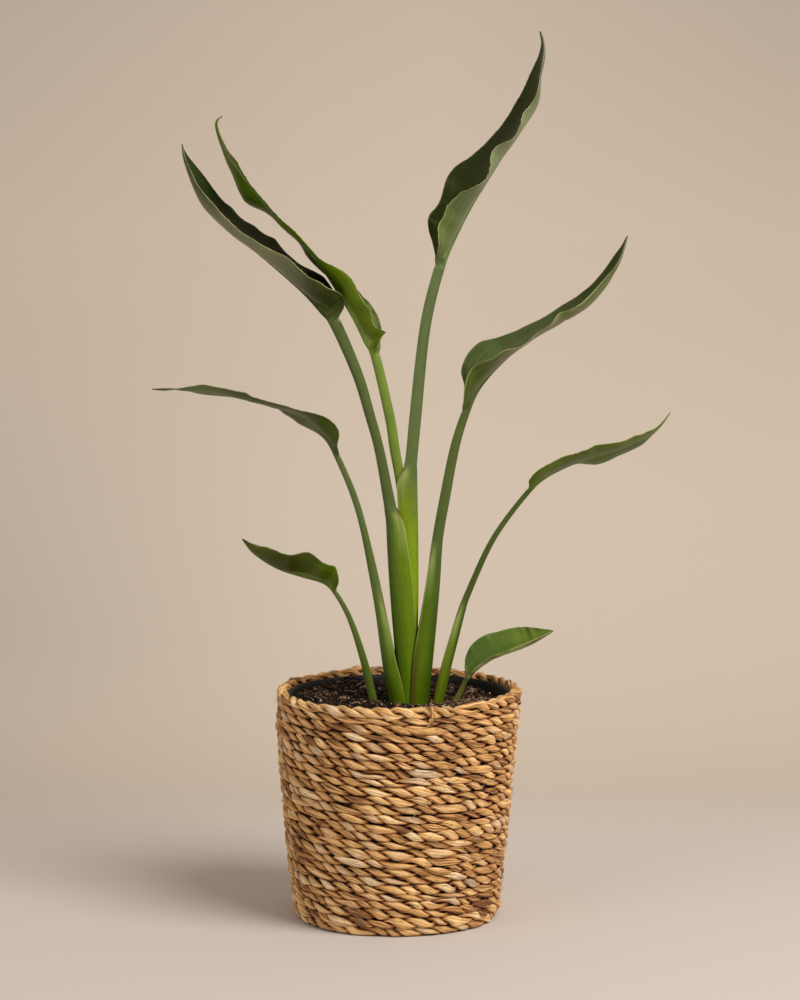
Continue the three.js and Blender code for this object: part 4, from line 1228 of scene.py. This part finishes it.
def spots(rng, count, crowd=0.0):
    """Places on the soil. A share of them, crowd, lies round the stalks' feet."""
    r = (settings().pot.rim_radius - 0.007) * np.sqrt(rng.random(count))
    a = rng.random(count) * TAU
    near = rng.random(count) < crowd
    x = np.where(near, 0.012 + 0.024 * rng.normal(0, 1, count), r * np.cos(a))
    y = np.where(near, -0.012 + 0.008 * rng.normal(0, 1, count), r * np.sin(a))
    return x, y


def rough_lump():
    """Corners and faces of a small ball."""
    deselect()
    bpy.ops.mesh.primitive_ico_sphere_add(subdivisions=1, radius=1)
    ball = bpy.context.object
    corners = np.array([v.co for v in ball.data.vertices])
    faces = np.array([list(p.vertices) for p in ball.data.polygons])
    bpy.data.objects.remove(ball)
    return corners, faces


def scatter(name, count, rng, sizes, shape, shades, crowd=0.0):
    """Grains made once as a rough lump and copied, each turned and sized anew."""
    lump, faces = rough_lump()
    x, y = spots(rng, count, crowd)
    size = rng.uniform(*sizes, count) * MM
    grains, shade = [], []
    for k in range(count):
        form = lump * (1 + 0.34 * rng.normal(0, 1, lump.shape)) * shape
        turn = Vector(rng.normal(0, 1, 3)).normalized()
        if shape[2] < 0.5:  # flat chips lie nearly level
            turn = Vector((*rng.normal(0, 0.35, 2), 1))
        tilt = np.array(turn.to_track_quat("Z", "Y").to_matrix())
        roll = rng.random() * TAU
        c, s = math.cos(roll), math.sin(roll)
        form = form @ np.array([[c, s, 0], [-s, c, 0], [0, 0, 1]]) @ tilt.T * size[k]
        z = settings().soil.top + soil_height(x[k], y[k]) + rng.uniform(-0.2, 0.5) * size[k]
        grains.append(form + [x[k], y[k], z])
        # painted light: grains lie lighter towards the right and darker towards the left, as if lit
        # from the right
        dry_and_side_light = 0.3 * smoothstep(x[k], -0.02, 0.07) - 0.08
        shade.append(rng.uniform(*shades) + dry_and_side_light)
    offsets = (np.arange(count) * len(lump))[:, None, None]
    obj = mesh_object(name, grains, (faces[None] + offsets).reshape(-1, 3).tolist())
    add_values(obj, "shade", np.repeat(shade, len(lump)))
    return obj


def coir_fibres(rng, count):
    """Thin coir fibres, curled over the surface."""
    threads, shades = [], []
    top, brim = settings().soil.top, settings().pot.rim_radius - 0.006
    x, y = spots(rng, count)
    n = 7
    s = np.linspace(0, 1, n)
    for k in range(count):
        length = rng.uniform(5, 19) * MM
        heading = rng.random() * TAU + rng.normal(0, 1.1) * s
        path = np.cumsum(radial(heading) * length / n, 0) + [x[k], y[k], 0]
        if not (np.hypot(path[:, 0], path[:, 1]) < brim).all():
            continue
        lift = rng.uniform(0.3, 2.6) * MM * np.sin(np.pi * s * rng.uniform(0.5, 1.2))
        path[:, 2] = [top + soil_height(*p[:2]) + 0.0004 + q for p, q in zip(path, lift)]
        thick = rng.uniform(0.1, 0.32) * MM * (1 - 0.6 * s)
        threads.append(thread_rings(path, thick, 4))
        shades.append(rng.uniform(0.5, 1.0))
    return thread_object("coir_fibres", threads, {"shade": shades})


# ----------------------------------------------------------------------- stage


def sweep_points(columns, rows):
    """A floor that bends up into a wall behind the plant."""
    flat, bend, rise, front = 3.6, 0.55, 3.2, -3.0
    arc = bend * np.pi / 2
    s = np.linspace(0, 1, rows) * (flat + arc + rise)
    turn = np.clip((s - flat) / bend, 0, np.pi / 2)
    y = front + np.minimum(s, flat) + bend * np.sin(turn)
    z = bend * (1 - np.cos(turn)) + np.maximum(s - flat - arc, 0) - 0.0002
    return [(x, *at) for at in zip(y, z) for x in np.linspace(-3.5, 3.5, columns)]


def backdrop_material(stage):
    """Pale floor and warm wall; seen from behind, it lets the view through."""
    s = Shader("backdrop")
    beside, behind, height = s.split(s.at)
    wall = behind.step(0.25, 0.75)
    color = s.mix(wall, tuple(stage.floor), tuple(stage.wall))
    # the light falls off to the right at the top and to the left lower down
    low = wall.range(0.0, 1.0, -0.1, 0.5) + height.range(0.0, 0.12, 0.0, 0.6)
    left = beside.range(-0.52, -0.12, 1.0, 0.0) * height.range(0.15, 0.55, 1.0, 0.35) * low
    right = beside.range(0.05, 0.5) * height.range(0.3, 0.85).range(0.0, 1.0, 0.5, 1.0)
    right = right * wall.range(0.0, 1.0, 0.4, 1.0)
    shade = height.range(0.62, 1.0, 0.99, 0.82) - (left * 0.16 + right * 0.17)
    material = s.coat(s.toned(color, shade), 0.95, specular_ior_level=0.1)
    back = s.add("NewGeometry", output="Backfacing")
    skin = Value(s, s.skin.outputs[0])
    both = s.add("MixShader", {0: back, 1: skin, 2: s.add("BsdfTransparent")})
    s.set(s.nodes["Material Output"].inputs["Surface"], both)
    return material


# ------------------------------------------------------------------- operators


class PLANT_OT_stage(bpy.types.Operator):
    """Set up the pale floor, the soft lights and the camera."""

    bl_idname = "plant.stage"
    bl_label = "Set the stage"

    def execute(self, context):
        stage = settings().stage
        deselect()
        columns, rows = 3, 81
        bpy.ops.mesh.primitive_grid_add(x_subdivisions=columns - 1, y_subdivisions=rows - 1, size=1)
        sweep = context.object
        sweep.name = "studio_sweep"
        put_points(sweep, sweep_points(columns, rows))
        bpy.ops.object.shade_smooth()
        sweep.data.materials.append(backdrop_material(stage))

        world = bpy.data.worlds.new("studio")
        context.scene.world = world
        world.use_nodes = True
        back = world.node_tree.nodes["Background"]
        back.inputs["Color"].default_value = (1.0, 0.985, 0.965, 1)
        back.inputs["Strength"].default_value = WORLD_LIGHT
        lamps = (
            ("key_light", (1.85, -1.62, 2.42), 2.2, stage.key, (1.0, 0.98, 0.95)),
            ("fill_light", (-2.4, -2.2, 1.4), 2.0, stage.fill, (0.98, 0.99, 1.0)),
        )
        for name, place, size, power, color in lamps:
            bpy.ops.object.light_add(type="AREA", location=place)
            lamp = context.object
            lamp.name = name
            lamp.data.shape = "DISK"
            lamp.data.size = size
            lamp.data.energy = power
            lamp.data.color = color
            aim = Vector(LIT_POINT) - Vector(place)
            lamp.rotation_euler = aim.to_track_quat("-Z", "Y").to_euler()
        bpy.ops.object.camera_add(
            location=CAMERA_AT, rotation=(math.radians(90 - CAMERA_DOWN), 0, 0)
        )
        camera = context.object
        camera.data.lens = stage.focal
        camera.data.sensor_width = 36
        camera.data.clip_end = 50
        context.scene.camera = camera
        context.scene.view_settings.view_transform = "Standard"
        return {"FINISHED"}


class PLANT_OT_basket(bpy.types.Operator):
    """Coil the basket's wall and floor from twisted rope."""

    bl_idname = "plant.basket"
    bl_label = "Coil the basket"

    def execute(self, context):
        basket = settings().basket
        rng = np.random.default_rng(BASKET_SEED)
        rows = weave_wall(basket, rng)
        third = math.ceil(len(rows) / 3)
        pieces = []
        for i, part in enumerate(("lower", "middle", "upper")):
            strands = sum(rows[i * third : (i + 1) * third], [])
            pieces.append(join(f"basket_{part}_rows", strands))
        pieces += [coil_floor(basket, rng), bind_rim(basket, rng), fray(basket, rng)]
        material = rope_material()
        for piece in pieces:
            finish_piece(piece, material, "rope_basket")
        return {"FINISHED"}


class PLANT_OT_pot(bpy.types.Operator):
    """Mould the black nursery pot."""

    bl_idname = "plant.pot"
    bl_label = "Mould the pot"

    def execute(self, context):
        pot = settings().pot
        rim, foot, top, base = pot.rim_radius, pot.foot_radius, pot.top, pot.bottom
        ledge = top - pot.rim_height
        neck = foot + (pot.top_radius - foot) * (ledge - base) / (top - base)
        inner_rim, inner_foot = rim - pot.wall, foot - pot.wall
        floor = base + 0.0018
        bead = 0.0007
        profile = [
            (foot - 0.002, base),
            (foot, base + 0.002),
            (neck - 0.0006, ledge - 0.001),
            (neck - 0.0002, ledge),
            (rim - 0.0012, ledge),
            (rim - 0.0006, ledge + 0.001),
            (rim - bead, top - 0.004),
            (rim, top - 0.0032),
            (rim, top - bead),
            (rim - bead, top),
            (inner_rim - 0.0012, top),
            (inner_rim - 0.0018, top - bead),
            (inner_rim - 0.0022, top - 0.004),
            (neck - pot.wall, ledge - 0.002),
            (inner_foot, floor + 0.0015),
            (inner_foot - 0.002, floor),
        ]
        deselect()
        (radius, z), *_ = profile
        bpy.ops.mesh.primitive_circle_add(
            vertices=SIDES_OF_POT, radius=radius, location=(0, 0, z), fill_type="NGON"
        )
        obj = context.object
        obj.name = "black_nursery_pot"
        bpy.ops.object.mode_set(mode="EDIT")
        bpy.ops.mesh.select_all(action="SELECT")
        bpy.ops.mesh.select_mode(type="EDGE")
        bpy.ops.mesh.region_to_loop()
        for (r0, z0), (r1, z1) in zip(profile, profile[1:]):
            bpy.ops.mesh.extrude_edges_move(TRANSFORM_OT_translate={"value": (0, 0, z1 - z0)})
            factor = r1 / r0
            bpy.ops.transform.resize(value=(factor, factor, 1), center_override=(0, 0, z1))
        bpy.ops.mesh.edge_face_add()
        bpy.ops.mesh.select_all(action="SELECT")
        bpy.ops.mesh.normals_make_consistent(inside=False)
        bpy.ops.object.mode_set(mode="OBJECT")
        bpy.ops.object.transform_apply(location=True, rotation=True, scale=True)
        finish_piece(obj, plastic_material(), "nursery_pot", angle=35)
        return {"FINISHED"}


class PLANT_OT_soil(bpy.types.Operator):
    """Fill the pot with potting mix, crumbs, bark, fibres and perlite."""

    bl_idname = "plant.soil"
    bl_label = "Fill in the soil"

    def execute(self, context):
        pot, soil = settings().pot, settings().soil
        rng = np.random.default_rng(SOIL_SEED)
        mix, white = soil_material(), perlite_material()
        # sizes in mm, shape, range of shades
        crumb = ((0.6, 2.4), (1, 0.85, 0.7), (0.0, 0.62))
        chip = ((1.6, 4.6), (1, 0.55, 0.28), (0.2, 1.0))
        grain = ((0.4, 1.35), (1, 0.9, 0.8), (0, 1), 0.3)
        pieces = (
            (soil_bed(pot, soil), mix, None),
            (scatter("soil_crumbs", soil.crumbs, rng, *crumb), mix, 40),
            (scatter("bark_chips", soil.bark, rng, *chip), mix, 40),
            (scatter("perlite_grains", soil.perlite, rng, *grain), white, 40),
            (coir_fibres(rng, soil.fibres), mix, None),
        )
        for piece, material, angle in pieces:
            finish_piece(piece, material, "potting_soil", angle)
        return {"FINISHED"}


class PLANT_OT_stalks(bpy.types.Operator):
    """Grow the stalks with their clasping sheaths."""

    bl_idname = "plant.stalks"
    bl_label = "Grow the stalks"

    def execute(self, context):
        for name, leaf in LEAVES.items():
            grow_stalk(name, leaf)
        return {"FINISHED"}


class PLANT_OT_blades(bpy.types.Operator):
    """Grow the eight folded blades."""

    bl_idname = "plant.blades"
    bl_label = "Grow the blades"

    def execute(self, context):
        for name, leaf in LEAVES.items():
            grow_blade(name, leaf)
        return {"FINISHED"}


class PLANT_PT_panel(bpy.types.Panel):
    """Sizes, colours and steps of the potted plant."""

    bl_idname = "PLANT_PT_panel"
    bl_label = "Potted plant"
    bl_space_type = "VIEW_3D"
    bl_region_type = "UI"
    bl_category = "Plant"

    def draw(self, context):
        plant = context.scene.plant
        for title in ("basket", "pot", "soil", "leaf", "stage"):
            box = self.layout.box()
            box.label(text=title.title())
            group = getattr(plant, title)
            for key in group.__annotations__:
                box.prop(group, key)
        for step in STEPS:
            self.layout.operator(step.bl_idname)


STEPS = (PLANT_OT_stage, PLANT_OT_basket, PLANT_OT_pot)
STEPS += (PLANT_OT_soil, PLANT_OT_stalks, PLANT_OT_blades)
GROUPS = (BasketSettings, PotSettings, SoilSettings, LeafSettings, StageSettings, PlantSettings)
CLASSES = GROUPS + STEPS + (PLANT_PT_panel,)


def register():
    for cls in CLASSES:
        bpy.utils.register_class(cls)
    bpy.types.Scene.plant = PointerProperty(type=PlantSettings)


def unregister():
    del bpy.types.Scene.plant
    for cls in reversed(CLASSES):
        bpy.utils.unregister_class(cls)


def main():
    register()
    bpy.ops.plant.stage()
    bpy.ops.plant.basket()
    bpy.ops.plant.pot()
    bpy.ops.plant.soil()
    bpy.ops.plant.stalks()
    bpy.ops.plant.blades()


if __name__ == "__main__":
    main()
